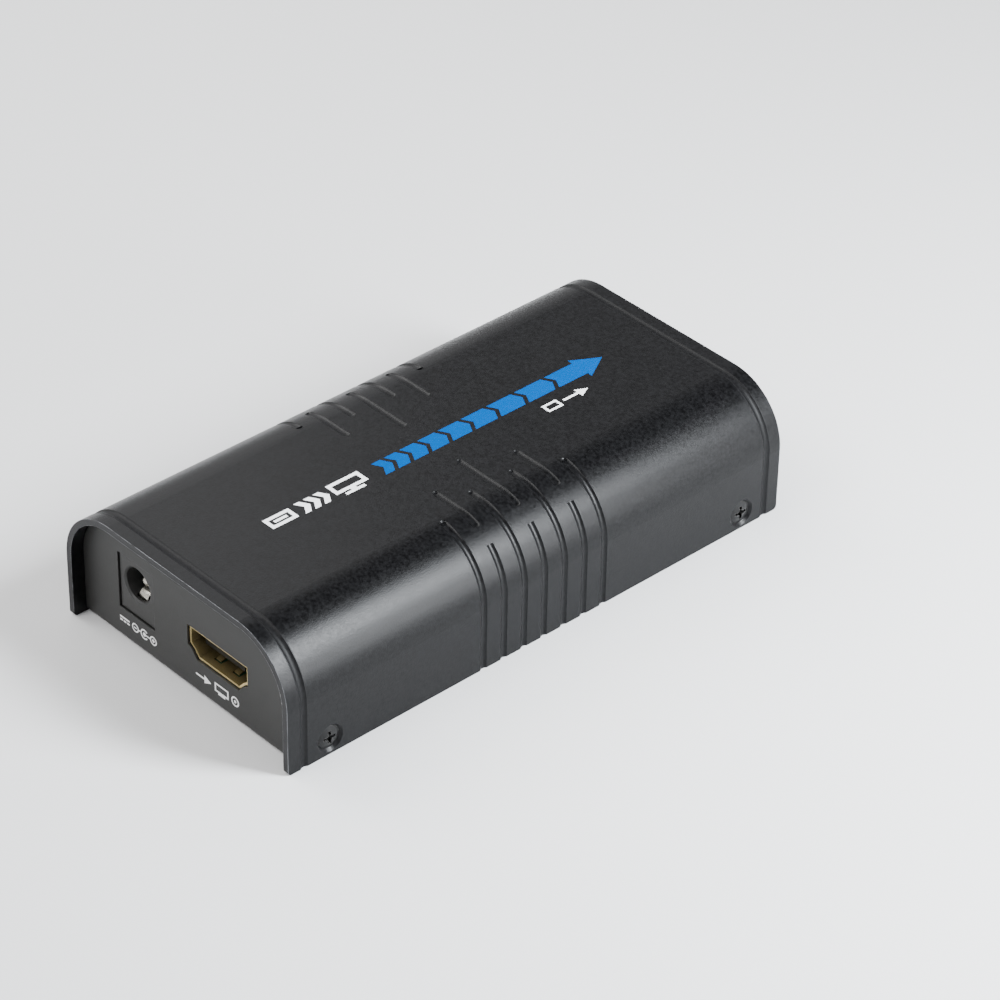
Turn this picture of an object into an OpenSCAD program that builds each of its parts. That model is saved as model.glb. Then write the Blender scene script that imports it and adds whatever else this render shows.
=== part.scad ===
// Video extender, sender box: a grooved cover over a sheet tray that carries the circuit board,
// with a power jack and a video socket at the front and a network jack and reset button at the rear.
// Millimetres. X is the width, Y runs from the video end (-Y) to the network end (+Y), Z is up.
// The origin is under the middle of the box, on the surface that it stands on.

/* [Case] */
// Length of the case, end to end
case_l = 113; // [110:1:124]
// Width of the case
case_w = 58; // [56:1:64]
// Height of the case
case_h = 24.8; // [24.4:0.2:28]
// Thickness of the cover's sheet
cover_t = 1.2; // [1:0.1:1.4]
// Outer radius of the cover's shoulders
shoulder_r = 12; // [9:0.5:12.5]
// Rounding of the walls' lower corners, seen from the side
wall_corner_r = 0.8; // [0.4:0.1:1.2]
// Thickness of the tray's sheet
tray_t = 1; // [0.8:0.1:1.2]
// Outer radius of the tray's bends
tray_bend_r = 1.2; // [1.2:0.1:1.5]
// Height of the tray's side flanges
flange_h = 7.5; // [6.5:0.5:9]
// How far each end panel lies inside the cover's end
panel_recess = 2.6; // [1.6:0.2:4]

/* [Grooves] */
// Distance of the two all-round grooves from the cover's ends
end_groove_in = 3.4; // [2.5:0.1:5]
// Width of the all-round grooves
end_groove_w = 1.5; // [1:0.1:1.8]
// Depth of the all-round grooves
end_groove_d = 0.3; // [0.15:0.05:0.45]
// Spacing of the seven side grooves
groove_pitch = 4.6; // [3:0.1:6]
// Width of a side groove
groove_w = 1.4; // [1:0.1:1.8]
// Depth of a side groove
groove_d = 0.3; // [0.15:0.05:0.45]
// Where the first and the last groove end on the top, from the middle
reach_outer = 18.6; // [17.5:0.1:20]
// Where the second and the sixth groove end on the top
reach_even = 11.6; // [9:0.1:14]
// Where the third and the fifth groove end on the top
reach_inner = 15.4; // [13:0.1:17]
// Where the middle groove ends on the top
reach_middle = 7.3; // [5:0.1:9]
// Angle on the shoulder where the lower part of an even groove stops
break_low_deg = 48; // [40:1:52]
// Angle on the shoulder where its upper part starts
break_high_deg = 68; // [62:1:72]

/* [Screws] */
// Distance of the cover screws from the cover's ends
cover_screw_in = 9; // [7:0.5:12]
// Height of the cover screws
cover_screw_z = 3.2; // [3:0.1:4]
// Diameter of the countersink at the cover's surface
sink_d = 5.4; // [5:0.1:5.8]
// Diameter of the cover screws' heads, which sit down in the countersinks
sink_head_d = 4.4; // [4.2:0.1:4.8]
// Diameter of the screws' shanks at the thread core
shank_d = 2.5; // [2:0.1:2.6]
// Diameter of the board screws' heads
pan_d = 5; // [4.4:0.1:5.4]
// Height of the board screws' heads
pan_h = 1.7; // [1.2:0.1:2.2]

/* [Board] */
// How far the board's underside lies below the case's mid-height
board_drop = 7.2; // [6.8:0.1:7.6]
// Thickness of the board
board_t = 1.6; // [1:0.2:1.6]
// Free edge between the board and the tray's walls
board_gap = 0.5; // [0.3:0.1:0.8]
// Distance of the stand-offs from the board's side edges
standoff_in = 3.8; // [3.4:0.1:4.4]
// Width of the stand-offs across the flats
standoff_af = 5; // [4.5:0.1:5.5]

/* [Power jack] */
// Middle of the power jack, to the left of the case's middle
power_x = 13.4; // [12.8:0.1:13.8]
// Width of the power jack
power_w = 9; // [8.8:0.1:9.2]
// Height of the power jack
power_h = 11; // [10.8:0.1:11.4]
// Length of the power jack
power_l = 14.2; // [13.6:0.2:15]
// Height of the hole's axis above the board
power_axis_h = 6.5; // [6.3:0.1:6.7]
// Diameter of the hole
power_hole_d = 6.4; // [6.2:0.1:6.5]
// Diameter of the centre pin
power_pin_d = 2; // [1.6:0.1:2.5]
// How far the jack's face lies behind the panel's
power_setback = 0.3; // [0.2:0.1:0.6]

/* [Video socket] */
// Middle of the video socket, to the right of the case's middle
video_x = 8; // [7:0.1:9]
// Width of the shell
video_w = 15; // [14.8:0.1:15.2]
// Height of the shell
video_h = 5.6; // [5.5:0.1:5.8]
// Length of the shell
video_l = 11.8; // [11:0.1:12.4]
// Height of the shell above the board
video_raise = 0.6; // [0.4:0.1:0.8]
// Thickness of the shell's sheet
video_t = 0.3; // [0.25:0.05:0.35]
// How far the shell's mouth lies behind the panel's face
video_setback = 0.4; // [0.2:0.1:0.8]
// Pitch of the contacts
video_pitch = 0.5; // [0.48:0.01:0.52]

/* [Network jack] */
// Middle of the network jack, to the right of the case's middle
lan_x = 0.5; // [-0.5:0.1:1.5]
// Width of the jack's shield
lan_w = 16; // [15.8:0.1:16.4]
// Height of the jack's shield
lan_h = 13.4; // [13.2:0.1:13.6]
// Length of the jack's shield
lan_l = 15.8; // [15.4:0.1:16.4]
// How far the jack's face lies behind the panel's
lan_setback = 1.2; // [1.2:0.1:1.6]
// Width of the plug's way in
plug_w = 11.8; // [11.7:0.1:12]
// Height of the plug's way in, without the latch notch
plug_h = 6.9; // [6.8:0.1:7.1]
// Pitch of the eight contacts
lan_pitch = 1.02; // [1:0.01:1.04]
// Width of a light window
light_w = 3.1; // [2.8:0.1:3.2]
// Height of a light window
light_h = 2.8; // [2.4:0.1:3]

/* [Reset button] */
// Middle of the reset button, to the left of the case's middle
reset_x = 14.5; // [14.2:0.1:15]
// Height of the button's axis above the board
reset_axis_h = 3.9; // [3.7:0.1:4.1]
// Diameter of the button
reset_d = 3.5; // [3.2:0.1:3.6]
// Diameter of the hole in the panel
reset_hole_d = 4.4; // [4.2:0.1:4.8]
// How far the button stands out of the panel
reset_out = 0.6; // [0.3:0.1:1]
// Travel of the button
reset_travel = 0.25; // [0.15:0.05:0.3]

/* [Hidden] */
$fn = 64;

// One length that lets a cut run past the faces it opens, as a share of the cover's sheet
overrun = 0.8 * cover_t;
// Play between the tray and the inside of the cover
tray_play = cover_t / 12;
// Running clearance of the button in its frame, on the radius
button_play = reset_d / 60;
// Clearance round a leg, a peg or a screw in the board
leg_play = board_t / 10;
// Length of the drawn collars that hold the cover screws' threads, with the sheet
collar_l = 1.6 * tray_t;

// The tray inside the cover
tray_w = case_w - 2 * (cover_t + tray_play);
tray_l = case_l - 2 * panel_recess;
panel_y = tray_l / 2;
panel_in_y = panel_y - tray_t;
flange_l = tray_l - 2 * (tray_t + tray_bend_r);

// The board on its stand-offs
board_z = case_h / 2 - board_drop;
board_w = tray_w - 2 * (tray_t + 1.5 * board_gap);
board_l = 2 * (panel_in_y - board_gap);
board_top = board_z + board_t;
board_corner_r = board_t;
standoff_x = board_w / 2 - standoff_in;
standoff_y = panel_y - power_setback - power_l - pan_d / 2 - board_gap;
standoff_h = board_z - tray_t;
clinch_d = 0.84 * standoff_af;

// The windows in the end panels, each with its clearance
power_window_play = 0.25 * tray_t;
video_window_play = 0.3 * tray_t;
lan_window_play = 0.6 * tray_t;
lan_window_low = 0.4 * tray_t;
lan_window_high = 0.3 * tray_t;

// The reset button and its switch, from the panel inwards
reset_z = board_top + reset_axis_h;
reset_face_y = panel_y + reset_out;
frame_t = tray_t / 4;
switch_face_y = panel_in_y - 1.3 * tray_t;
switch_front_y = switch_face_y - frame_t;
switch_w = 1.8 * reset_d;
switch_h = 2 * reset_axis_h - reset_axis_h / 8;
switch_l = reset_d;
pocket_d = 1.45 * reset_d;
pocket_l = reset_d / 2;
flange_d = 1.28 * reset_d;
flange_t = reset_d / 6;
nib_d = 0.4 * reset_d;
dome_d = 1.2 * reset_d;
dome_h = reset_d / 8;
dome_t = reset_d / 40;
rest_play = reset_d / 100;

// Sheet of the small stamped pieces
leaf_t = video_t;

// Turns a shape drawn in XZ into a body of the given length along Y, centred on the origin
module along_y(len) {
    translate([0, len / 2, 0])
        rotate([90, 0, 0])
            linear_extrude(len)
                children();
}

// Turns a shape drawn as (Y, Z) into a body of the given width along X, centred on the origin
module along_x(len) {
    translate([-len / 2, 0, 0])
        rotate([90, 0, 90])
            linear_extrude(len)
                children();
}

// A box centred in X, from y to y + l, from z upwards
module block(w, l, h, y = 0, z = 0) {
    translate([-w / 2, y, z])
        cube([w, l, h]);
}

// A box that stands on z, centred in X and Y
module chip(w, l, h) {
    translate([-w / 2, -l / 2, 0])
        cube([w, l, h]);
}

// Places its children on the board, at two shares of its width and length from the middle
module on_board(shares) {
    translate([shares[0] * board_w, shares[1] * board_l, board_top])
        children();
}

// Puts a front-facing piece at the front end, where local y points into the case
module at_front(x, setback, z) {
    translate([x, -panel_y + setback, z])
        children();
}

// Puts a front-facing piece at the rear end, turned round
module at_rear(x, setback, z) {
    translate([x, panel_y - setback, z])
        rotate([0, 0, 180])
            children();
}

// The case's cross-section, drawn in by the given inset
module case_outline(inset) {
    translate([-case_w / 2 + inset, 0])
        square([case_w - 2 * inset, case_h - shoulder_r]);
    translate([-case_w / 2 + shoulder_r, 0])
        square([case_w - 2 * shoulder_r, case_h - inset]);
    for (side = [0, 1])
        mirror([side, 0, 0])
            translate([case_w / 2 - shoulder_r, case_h - shoulder_r])
                intersection() {
                    circle(shoulder_r - inset, $fn = 128);
                    square(shoulder_r);
                }
}

// A wedge between two angles that are 180 degrees apart at most, reaching past the given radius
module wedge(r, low, high) {
    far = 2 * r;
    polygon([
        [0, 0],
        [far * cos(low), far * sin(low)],
        [far * cos((low + high) / 2), far * sin((low + high) / 2)],
        [far * cos(high), far * sin(high)]
    ]);
}

// The part of a flat ring between two angles
module ring_sector(r_out, r_in, low, high) {
    intersection() {
        difference() {
            circle(r_out);
            circle(r_in);
        }
        wedge(r_out, low, high);
    }
}

// A groove's cross-section drawn as (across, height over the surface): a round floor under an open mouth
module groove_section(w, d) {
    floor_r = (pow(w / 2, 2) + pow(d, 2)) / (2 * d);
    intersection() {
        translate([0, floor_r - d])
            circle(floor_r, $fn = 32);
        translate([-floor_r, -d])
            square([2 * floor_r, d + overrun]);
    }
}

// A groove's run up the right wall, from below its foot to the shoulder's start
module wall_groove(w, d) {
    translate([case_w / 2, 0, -overrun])
        linear_extrude(case_h - shoulder_r + overrun)
            rotate(-90)
                groove_section(w, d);
}

// A groove's run over the right shoulder, between two angles measured from the wall
module shoulder_groove(w, d, low, high) {
    translate([case_w / 2 - shoulder_r, 0, case_h - shoulder_r])
        rotate([90, -low, 0])
            rotate_extrude(angle = high - low, $fn = 128)
                translate([shoulder_r, 0])
                    rotate(-90)
                        groove_section(w, d);
}

// A groove's run over the top, from one distance to the right of the middle to the shoulder's end
module top_groove(w, d, from) {
    translate([from, 0, case_h])
        rotate([90, 0, 90])
            linear_extrude(case_w / 2 - shoulder_r - from)
                groove_section(w, d);
}

// The round end of a side groove: half a turn of its section around an axis square to the surface
module groove_end() {
    rotate([0, 0, 90])
        rotate_extrude(angle = 180)
            intersection() {
                groove_section(groove_w, groove_d);
                translate([0, -groove_d])
                    square([2 * groove_w, groove_d + overrun]);
            }
}

// The round end of a side groove on the shoulder, at an angle from the wall: 0 rounds it upwards, 1 downwards
module shoulder_groove_end(angle, way) {
    translate([case_w / 2 - shoulder_r, 0, case_h - shoulder_r])
        rotate([0, 90 - angle, 0])
            translate([0, 0, shoulder_r])
                mirror([way, 0, 0])
                    groove_end();
}

// One right-hand groove: from the wall's foot over the shoulder to its reach, on the flat top or before it
module side_groove(reach, broken) {
    flat_x = case_w / 2 - shoulder_r;
    end_deg = reach < flat_x ? 90 : acos((reach - flat_x) / shoulder_r);
    wall_groove(groove_w, groove_d);
    if (reach < flat_x) {
        top_groove(groove_w, groove_d, reach);
        translate([reach, 0, case_h])
            groove_end();
    } else
        shoulder_groove_end(end_deg, 0);
    if (broken) {
        shoulder_groove(groove_w, groove_d, 0, break_low_deg);
        shoulder_groove_end(break_low_deg, 0);
        shoulder_groove_end(break_high_deg, 1);
    }
    shoulder_groove(groove_w, groove_d, broken ? break_high_deg : 0, end_deg);
}

// A groove round both walls, both shoulders and the whole top
module all_round_groove() {
    top_groove(end_groove_w, end_groove_d, shoulder_r - case_w / 2);
    for (side = [0, 1])
        mirror([side, 0, 0]) {
            wall_groove(end_groove_w, end_groove_d);
            shoulder_groove(end_groove_w, end_groove_d, 0, 90);
        }
}

// Takes the lower corner off both walls, at the cover's front end
module wall_corner_cut() {
    translate([0, -case_l / 2, 0])
        along_x(2 * case_w)
            difference() {
                translate([-overrun, -overrun])
                    square(wall_corner_r + overrun);
                translate([wall_corner_r, wall_corner_r])
                    circle(wall_corner_r);
            }
}

// The four places where a screw goes through the cover, with its axis pointing inwards
module at_cover_screws() {
    for (side = [-1, 1], end = [-1, 1])
        translate([side * case_w / 2, end * (case_l / 2 - cover_screw_in), cover_screw_z])
            rotate([0, -90 * side, 0])
                children();
}

module cover() {
    reaches = [reach_outer, reach_even, reach_inner, reach_middle, reach_inner, reach_even, reach_outer];
    color("#38393c")
        difference() {
            along_y(case_l)
                difference() {
                    case_outline(0);
                    case_outline(cover_t);
                    translate([-case_w / 2 + cover_t, -overrun])
                        square([case_w - 2 * cover_t, 2 * overrun]);
                }
            for (end = [-1, 1])
                translate([0, end * (case_l / 2 - end_groove_in), 0])
                    all_round_groove();
            for (side = [0, 1], i = [0:6])
                mirror([side, 0, 0])
                    translate([0, (i - 3) * groove_pitch, 0])
                        side_groove(reaches[i], i % 2 == 1);
            for (end = [0, 1])
                mirror([0, end, 0])
                    wall_corner_cut();
            at_cover_screws()
                translate([0, 0, -overrun])
                    cylinder(h = cover_t + 2 * overrun, d = sink_d - 2 * cover_t);
            at_cover_screws()
                cylinder(h = cover_t, d1 = sink_d, d2 = sink_d - 2 * cover_t);
        }
}

// A bent-up wall drawn in (inwards, up): the quarter bend and the upright above it
module bend_outline(height) {
    translate([0, tray_bend_r])
        square([tray_t, height - tray_bend_r]);
    translate([tray_bend_r, tray_bend_r])
        ring_sector(tray_bend_r, tray_bend_r - tray_t, 180, 270);
}

// The end panel at the front, shaped to the inside of the cover
module end_panel() {
    intersection() {
        translate([0, -panel_y, 0])
            along_x(tray_w)
                bend_outline(case_h - cover_t - tray_play);
        along_y(case_l)
            case_outline(cover_t + tray_play);
    }
}

// The video socket's cross-section, from its lower edge up, drawn in by the given inset
function video_points(inset) =
    let (
        half = video_w / 2 - inset,
        low = inset,
        top = video_h - inset,
        foot = 0.35 * video_w - 0.4 * inset,
        notch_x = 0.43 * video_w - 0.7 * inset,
        notch_z = 0.25 * video_h + 0.6 * inset,
        side_z = 0.375 * video_h + 0.8 * inset
    )
    [
        [-half, top], [-half, side_z], [-notch_x, notch_z], [-foot, low],
        [foot, low], [notch_x, notch_z], [half, side_z], [half, top]
    ];

module video_outline(inset) {
    polygon(video_points(inset));
}

module front_windows() {
    at_front(-power_x, -overrun, board_top)
        block(power_w + 2 * power_window_play, tray_t + 2 * overrun, power_h + 2 * power_window_play,
            z = -power_window_play);
    at_front(video_x, tray_t / 2, board_top + video_raise)
        along_y(tray_t + 2 * overrun)
            video_outline(-video_window_play);
}

module rear_windows() {
    at_rear(lan_x, -overrun, board_top)
        block(lan_w + 2 * lan_window_play, tray_t + 2 * overrun, lan_h - lan_window_low + lan_window_high,
            z = lan_window_low);
    translate([-reset_x, panel_y - tray_t / 2, reset_z])
        rotate([90, 0, 0])
            cylinder(h = tray_t + 2 * overrun, d = reset_hole_d, center = true);
}

// The side flange on the right, with its bend, between the bend reliefs
module side_flange() {
    translate([tray_w / 2, 0, 0])
        mirror([1, 0, 0])
            along_y(flange_l)
                bend_outline(flange_h);
}

// The drawn collar round a threaded hole in the flange, in the screw's own axis
module thread_collar() {
    translate([0, 0, cover_t + tray_play])
        cylinder(h = collar_l, d = 1.6 * shank_d);
}

module tray() {
    color("#4b4b4a")
        difference() {
            union() {
                chip(tray_w - 2 * tray_bend_r, tray_l - 2 * tray_bend_r, tray_t);
                for (end = [0, 1])
                    mirror([0, end, 0])
                        end_panel();
                for (side = [0, 1])
                    mirror([side, 0, 0])
                        side_flange();
                at_cover_screws()
                    thread_collar();
            }
            front_windows();
            rear_windows();
            at_cover_screws()
                cylinder(h = cover_t + 4 * tray_t, d = shank_d);
            at_standoffs()
                translate([0, 0, -overrun])
                    cylinder(h = tray_t + 2 * overrun, d = clinch_d);
        }
}

// A cross recess, cut from the top of a screw head downwards
module cross_recess(d, depth) {
    for (turn = [0, 90])
        rotate([0, 0, turn])
            translate([-d / 2, -d / 9, -depth])
                cube([d, 2 * d / 9, depth + overrun]);
    translate([0, 0, -depth])
        cylinder(h = depth + overrun, d1 = d / 3, d2 = 0.62 * d);
}

// A raised countersunk head, drawn as (outwards, inwards from the surface)
module raised_head_outline() {
    rim_in = (sink_d - sink_head_d) / 2;
    rise = 0.8 * rim_in;
    dome_r = (pow(sink_head_d / 2, 2) + pow(rise, 2)) / (2 * rise);
    polygon([
        [0, rim_in],
        [sink_head_d / 2, rim_in],
        [sink_d / 2 - cover_t, cover_t],
        [0, cover_t]
    ]);
    intersection() {
        translate([0, rim_in - rise + dome_r])
            circle(dome_r, $fn = 200);
        translate([0, rim_in - rise])
            square([sink_head_d, rise]);
    }
}

module cover_screws() {
    head_top = 0.2 * (sink_d - sink_head_d) / 2;
    color("#1d1d1f")
        at_cover_screws() {
            difference() {
                rotate_extrude()
                    raised_head_outline();
                translate([0, 0, head_top])
                    rotate([180, 0, 0])
                        cross_recess(0.58 * sink_head_d, 0.6 * cover_t);
            }
            translate([0, 0, cover_t])
                cylinder(h = tray_play + collar_l, d = shank_d);
        }
}

// The four places of the stand-offs, on the table's level
module at_standoffs() {
    for (side = [-1, 1], end = [-1, 1])
        translate([side * standoff_x, end * standoff_y, 0])
            children();
}

module board_standoffs() {
    color("#c9c6bd")
        at_standoffs()
            difference() {
                union() {
                    cylinder(h = tray_t, d = clinch_d);
                    translate([0, 0, tray_t])
                        cylinder(h = standoff_h, d = standoff_af / cos(30), $fn = 6);
                }
                translate([0, 0, -overrun])
                    cylinder(h = board_z + 2 * overrun, d = shank_d);
            }
}

module board_screws() {
    color("#b9b6ae")
        at_standoffs()
            translate([0, 0, board_top]) {
                difference() {
                    cylinder(h = pan_h, d1 = pan_d, d2 = 0.86 * pan_d);
                    translate([0, 0, pan_h])
                        cross_recess(0.55 * pan_d, 0.6 * pan_h);
                }
                translate([0, 0, -board_t - 0.7 * standoff_h])
                    cylinder(h = board_t + 0.7 * standoff_h, d = shank_d);
            }
}

// The outline of the board, with round corners
module board_outline() {
    square([board_w - 2 * board_corner_r, board_l], center = true);
    square([board_w, board_l - 2 * board_corner_r], center = true);
    for (side = [-1, 1], end = [-1, 1])
        translate([side * (board_w / 2 - board_corner_r), end * (board_l / 2 - board_corner_r)])
            circle(board_corner_r);
}

module circuit_board() {
    color("#1f5c3a")
        translate([0, 0, board_z])
            linear_extrude(board_t)
                difference() {
                    board_outline();
                    for (side = [-1, 1], end = [-1, 1])
                        translate([side * standoff_x, end * standoff_y])
                            circle(d = shank_d + 4 * leg_play);
                    video_leg_holes();
                    power_leg_holes();
                    lan_peg_holes();
                    switch_leg_holes();
                }
}

// The leaf spring in the power jack: its run, its bump near the mouth and its leg
power_leg_w = power_w / 4;
leaf_run_z = power_axis_h - power_hole_d / 2 - leaf_t;
leaf_bump_r = power_hole_d / 2 + leaf_t - power_hole_d / 3.6;
leaf_bump_y = power_l / 5;
leaf_leg_y = 0.55 * power_l;
leaf_slot_w = 1.2 * power_leg_w;
leaf_slot_y = leaf_bump_y - leaf_bump_r - leaf_t;

// Where the power jack's two legs stand, from its face inwards
power_leg_ys = [leaf_leg_y - leaf_t / 2, power_l - leaf_t / 2];

module power_leg_holes() {
    translate([-power_x, -panel_y + power_setback])
        for (y = power_leg_ys)
            translate([0, y])
                square([power_leg_w + 2 * leg_play, leaf_t + 2 * leg_play], center = true);
}

// The jack's cross-section behind its face, a little narrower: straight sides under a half round
module power_rear_outline() {
    rear_w = 0.94 * power_w;
    translate([-rear_w / 2, 0])
        square([rear_w, power_axis_h]);
    translate([0, power_axis_h])
        intersection() {
            circle(d = rear_w);
            translate([-rear_w / 2, 0])
                square([rear_w, rear_w / 2]);
        }
}

module power_jack_body() {
    hole_l = 0.7 * power_l;
    face_l = power_l / 4;
    hole_rim = power_hole_d / 20;
    color("#3a3a3a")
        at_front(-power_x, power_setback, board_top)
            difference() {
                union() {
                    block(power_w, face_l, power_h);
                    translate([0, (power_l + face_l) / 2, 0])
                        along_y(power_l - face_l)
                            power_rear_outline();
                }
                translate([0, hole_l, power_axis_h])
                    rotate([90, 0, 0])
                        cylinder(h = hole_l + overrun, d = power_hole_d);
                translate([0, hole_rim, power_axis_h])
                    rotate([90, 0, 0])
                        cylinder(h = 2 * hole_rim, d1 = power_hole_d, d2 = power_hole_d + 4 * hole_rim);
                translate([0, power_l + overrun, power_axis_h])
                    rotate([90, 0, 0])
                        cylinder(h = power_l, d = power_pin_d);
                block(leaf_slot_w, leaf_leg_y + leaf_t - leaf_slot_y, power_axis_h - leaf_run_z + leaf_t,
                    y = leaf_slot_y, z = leaf_run_z - leaf_t);
                block(leaf_slot_w, 3 * leaf_t, power_axis_h + overrun, y = leaf_leg_y - 2 * leaf_t,
                    z = -overrun);
                block(power_leg_w, 2 * leaf_t + overrun, power_axis_h + overrun, y = power_l - 2 * leaf_t,
                    z = -overrun);
            }
}

module power_jack_pin() {
    tip_y = power_l / 10;
    color("#cfcac0")
        at_front(-power_x, power_setback, board_top) {
            translate([0, power_l - leaf_t, power_axis_h])
                rotate([90, 0, 0])
                    cylinder(h = power_l - leaf_t - tip_y - power_pin_d / 2, d = power_pin_d);
            translate([0, tip_y + power_pin_d / 2, power_axis_h])
                sphere(d = power_pin_d);
            block(power_leg_w, leaf_t, power_axis_h + power_pin_d + board_t, y = power_l - leaf_t,
                z = -2 * board_t);
        }
}

// The leaf spring drawn as (inwards, up)
module leaf_outline() {
    translate([leaf_bump_y, leaf_run_z])
        ring_sector(leaf_bump_r, leaf_bump_r - leaf_t, 0, 180);
    translate([leaf_bump_y + leaf_bump_r - leaf_t, leaf_run_z - leaf_t])
        square([leaf_leg_y - leaf_bump_y - leaf_bump_r + leaf_t, leaf_t]);
    translate([leaf_leg_y - leaf_t, -2 * board_t])
        square([leaf_t, leaf_run_z - leaf_t + 2 * board_t]);
}

module power_jack_spring() {
    color("#d8d4ca")
        at_front(-power_x, power_setback, board_top)
            along_x(power_leg_w)
                leaf_outline();
}

// Where the video shell's four legs stand, in the socket's own frame
video_leg_w = video_l / 9;
video_leg_ys = [0.2 * video_l, 0.72 * video_l];

module video_leg_holes() {
    translate([video_x, -panel_y + video_setback])
        for (side = [-1, 1], y = video_leg_ys)
            translate([side * (video_w / 2 - video_t / 2), y + video_leg_w / 2])
                square([video_t + 2 * leg_play, video_leg_w + 2 * leg_play], center = true);
}

// The lip that is turned out round the shell's mouth
mouth_lip = video_t / 2.5;
mouth_lip_l = 2 * video_t;

// A spring finger in the shell's top sheet: its slot and the leaf that dips into the mouth
finger_w = video_w / 12;
finger_l = video_l / 2.4;
finger_y = video_l / 8;
finger_gap = video_t;

module finger_slot() {
    block(finger_w + 2 * finger_gap, finger_l, 4 * video_t, y = finger_y, z = -2 * video_t);
}

module finger_leaf() {
    dip = 1.6 * video_t;
    along_x(finger_w)
        polygon([
            [finger_y + finger_l, 0],
            [finger_y + finger_l, -video_t],
            [finger_y + finger_l / 3, -video_t - dip],
            [finger_y + finger_gap, -video_t - dip / 2],
            [finger_y + finger_gap, -dip / 2],
            [finger_y + finger_l / 3, -dip]
        ]);
}

// The two upper and the two lower fingers, each in the axis of the sheet that carries it
module at_fingers() {
    for (side = [-1, 1]) {
        translate([side * video_w / 4, 0, video_h])
            children();
        translate([side * video_w / 6.4, 0, 0])
            mirror([0, 0, 1])
                children();
    }
}

module video_socket_shell() {
    color("#c9a55a")
        at_front(video_x, video_setback, board_top + video_raise) {
            difference() {
                translate([0, video_l / 2, 0])
                    along_y(video_l)
                        difference() {
                            video_outline(0);
                            video_outline(video_t);
                        }
                at_fingers()
                    finger_slot();
            }
            translate([0, mouth_lip_l / 2, 0])
                along_y(mouth_lip_l)
                    difference() {
                        video_outline(-mouth_lip);
                        video_outline(0);
                    }
            at_fingers()
                finger_leaf();
            for (side = [-1, 1], y = video_leg_ys)
                translate([side * (video_w / 2 - video_t / 2), 0, -video_raise - 1.6 * board_t])
                    block(video_t, video_leg_w, video_h / 2 + video_raise + 1.6 * board_t, y = y);
        }
}

// The insert: a block that fills the shell's rear and the tongue that reaches forward
tongue_w = 0.68 * video_w;
tongue_t = 0.27 * video_h;
tongue_z = 0.46 * video_h;
tongue_y = video_l / 9;
insert_y = 0.56 * video_l;
contact_w = 0.6 * video_pitch;
contact_t = video_t / 3;
upper_count = 10;
lower_count = 9;

// A row of contacts: each strip runs back from the tongue, then down to a foot on the board
module video_contact_strips(count, z, tail_y) {
    foot_l = 3 * video_pitch;
    for (i = [0:count - 1])
        translate([(i - (count - 1) / 2) * 2 * video_pitch, 0, 0]) {
            block(contact_w, tail_y - tongue_y - contact_w, contact_t, y = tongue_y + contact_w, z = z);
            block(contact_w, contact_t, z + video_raise + contact_t, y = tail_y, z = -video_raise);
            block(contact_w, foot_l, contact_t, y = tail_y, z = -video_raise);
        }
}

module video_socket_insert() {
    color("#26261f")
        at_front(video_x, video_setback, board_top + video_raise)
            difference() {
                union() {
                    translate([0, (video_l + insert_y) / 2, 0])
                        along_y(video_l - insert_y)
                            video_outline(video_t);
                    block(tongue_w, insert_y - tongue_y, tongue_t, y = tongue_y, z = tongue_z);
                }
                video_strip_slots();
            }
}

// The ways through the block that the contacts' strips fill
module video_strip_slots() {
    for (i = [0:upper_count - 1])
        translate([(i - (upper_count - 1) / 2) * 2 * video_pitch, 0, 0])
            block(contact_w, video_l, contact_t, y = insert_y, z = tongue_z + tongue_t);
    for (i = [0:lower_count - 1])
        translate([(i - (lower_count - 1) / 2) * 2 * video_pitch, 0, 0])
            block(contact_w, video_l, contact_t, y = insert_y, z = tongue_z - contact_t);
}

module video_socket_contacts() {
    color("#d9b45f")
        at_front(video_x, video_setback, board_top + video_raise) {
            video_contact_strips(upper_count, tongue_z + tongue_t, video_l + 3 * video_t);
            video_contact_strips(lower_count, tongue_z - contact_t, video_l + video_t);
        }
}

// Sizes of the network jack, in its own frame: the mouth's face at y = 0, the board at z = 0
lan_t = 0.3 * tray_t;
lan_side = lan_w / 14;
mouth_w = 1.04 * plug_w;
lan_low = lan_h / 12;
lan_high = lan_h / 26;
plug_z = lan_h / 8;
notch_1_w = 0.54 * plug_w;
notch_1_h = 0.24 * plug_h;
notch_2_w = 0.34 * plug_w;
notch_2_h = 0.16 * plug_h;
cavity_l = 0.84 * lan_l;
comb_h = 0.14 * plug_h;
comb_y = 0.04 * lan_l;
comb_l = 0.33 * lan_l;
comb_floor = lan_low / 2;
wire_w = 0.4 * lan_pitch;
wire_t = 0.35 * lan_pitch;
slot_w = 0.6 * lan_pitch;
bend_y = 0.24 * lan_l;
bend_in_r = wire_t;
wire_rise_deg = 22;
light_x = lan_w / 2 - lan_side - light_w / 2;
light_z = lan_h - lan_high - light_h - lan_t;
spring_z = 0.415 * lan_h;
spring_h = 0.1 * lan_h;
spring_l = 0.21 * lan_l;
peg_x = 0.36 * lan_w;
peg_y = 0.55 * lan_l;
peg_d = 0.2 * lan_w;

module lan_jack_shield() {
    color("#b8ab93")
        at_rear(lan_x, lan_setback, board_top) {
            difference() {
                block(lan_w, lan_l, lan_h);
                block(lan_w - 2 * lan_t, lan_l - 2 * lan_t, lan_h + overrun, y = lan_t,
                    z = -overrun - lan_t);
                block(mouth_w, 2 * lan_t + overrun, light_z + light_h - lan_low, y = -overrun, z = lan_low);
                block(lan_w - 2 * lan_side, 2 * lan_t + overrun, light_h, y = -overrun, z = light_z);
            }
            for (side = [0, 1])
                mirror([side, 0, 0])
                    lan_side_leaf();
            for (side = [-1, 1])
                translate([side * (lan_w / 2 - lan_t / 2), 0, 0])
                    block(lan_t, lan_l / 10, board_t * 1.5, y = 0.45 * lan_l, z = -board_t * 1.5);
        }
}

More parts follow.
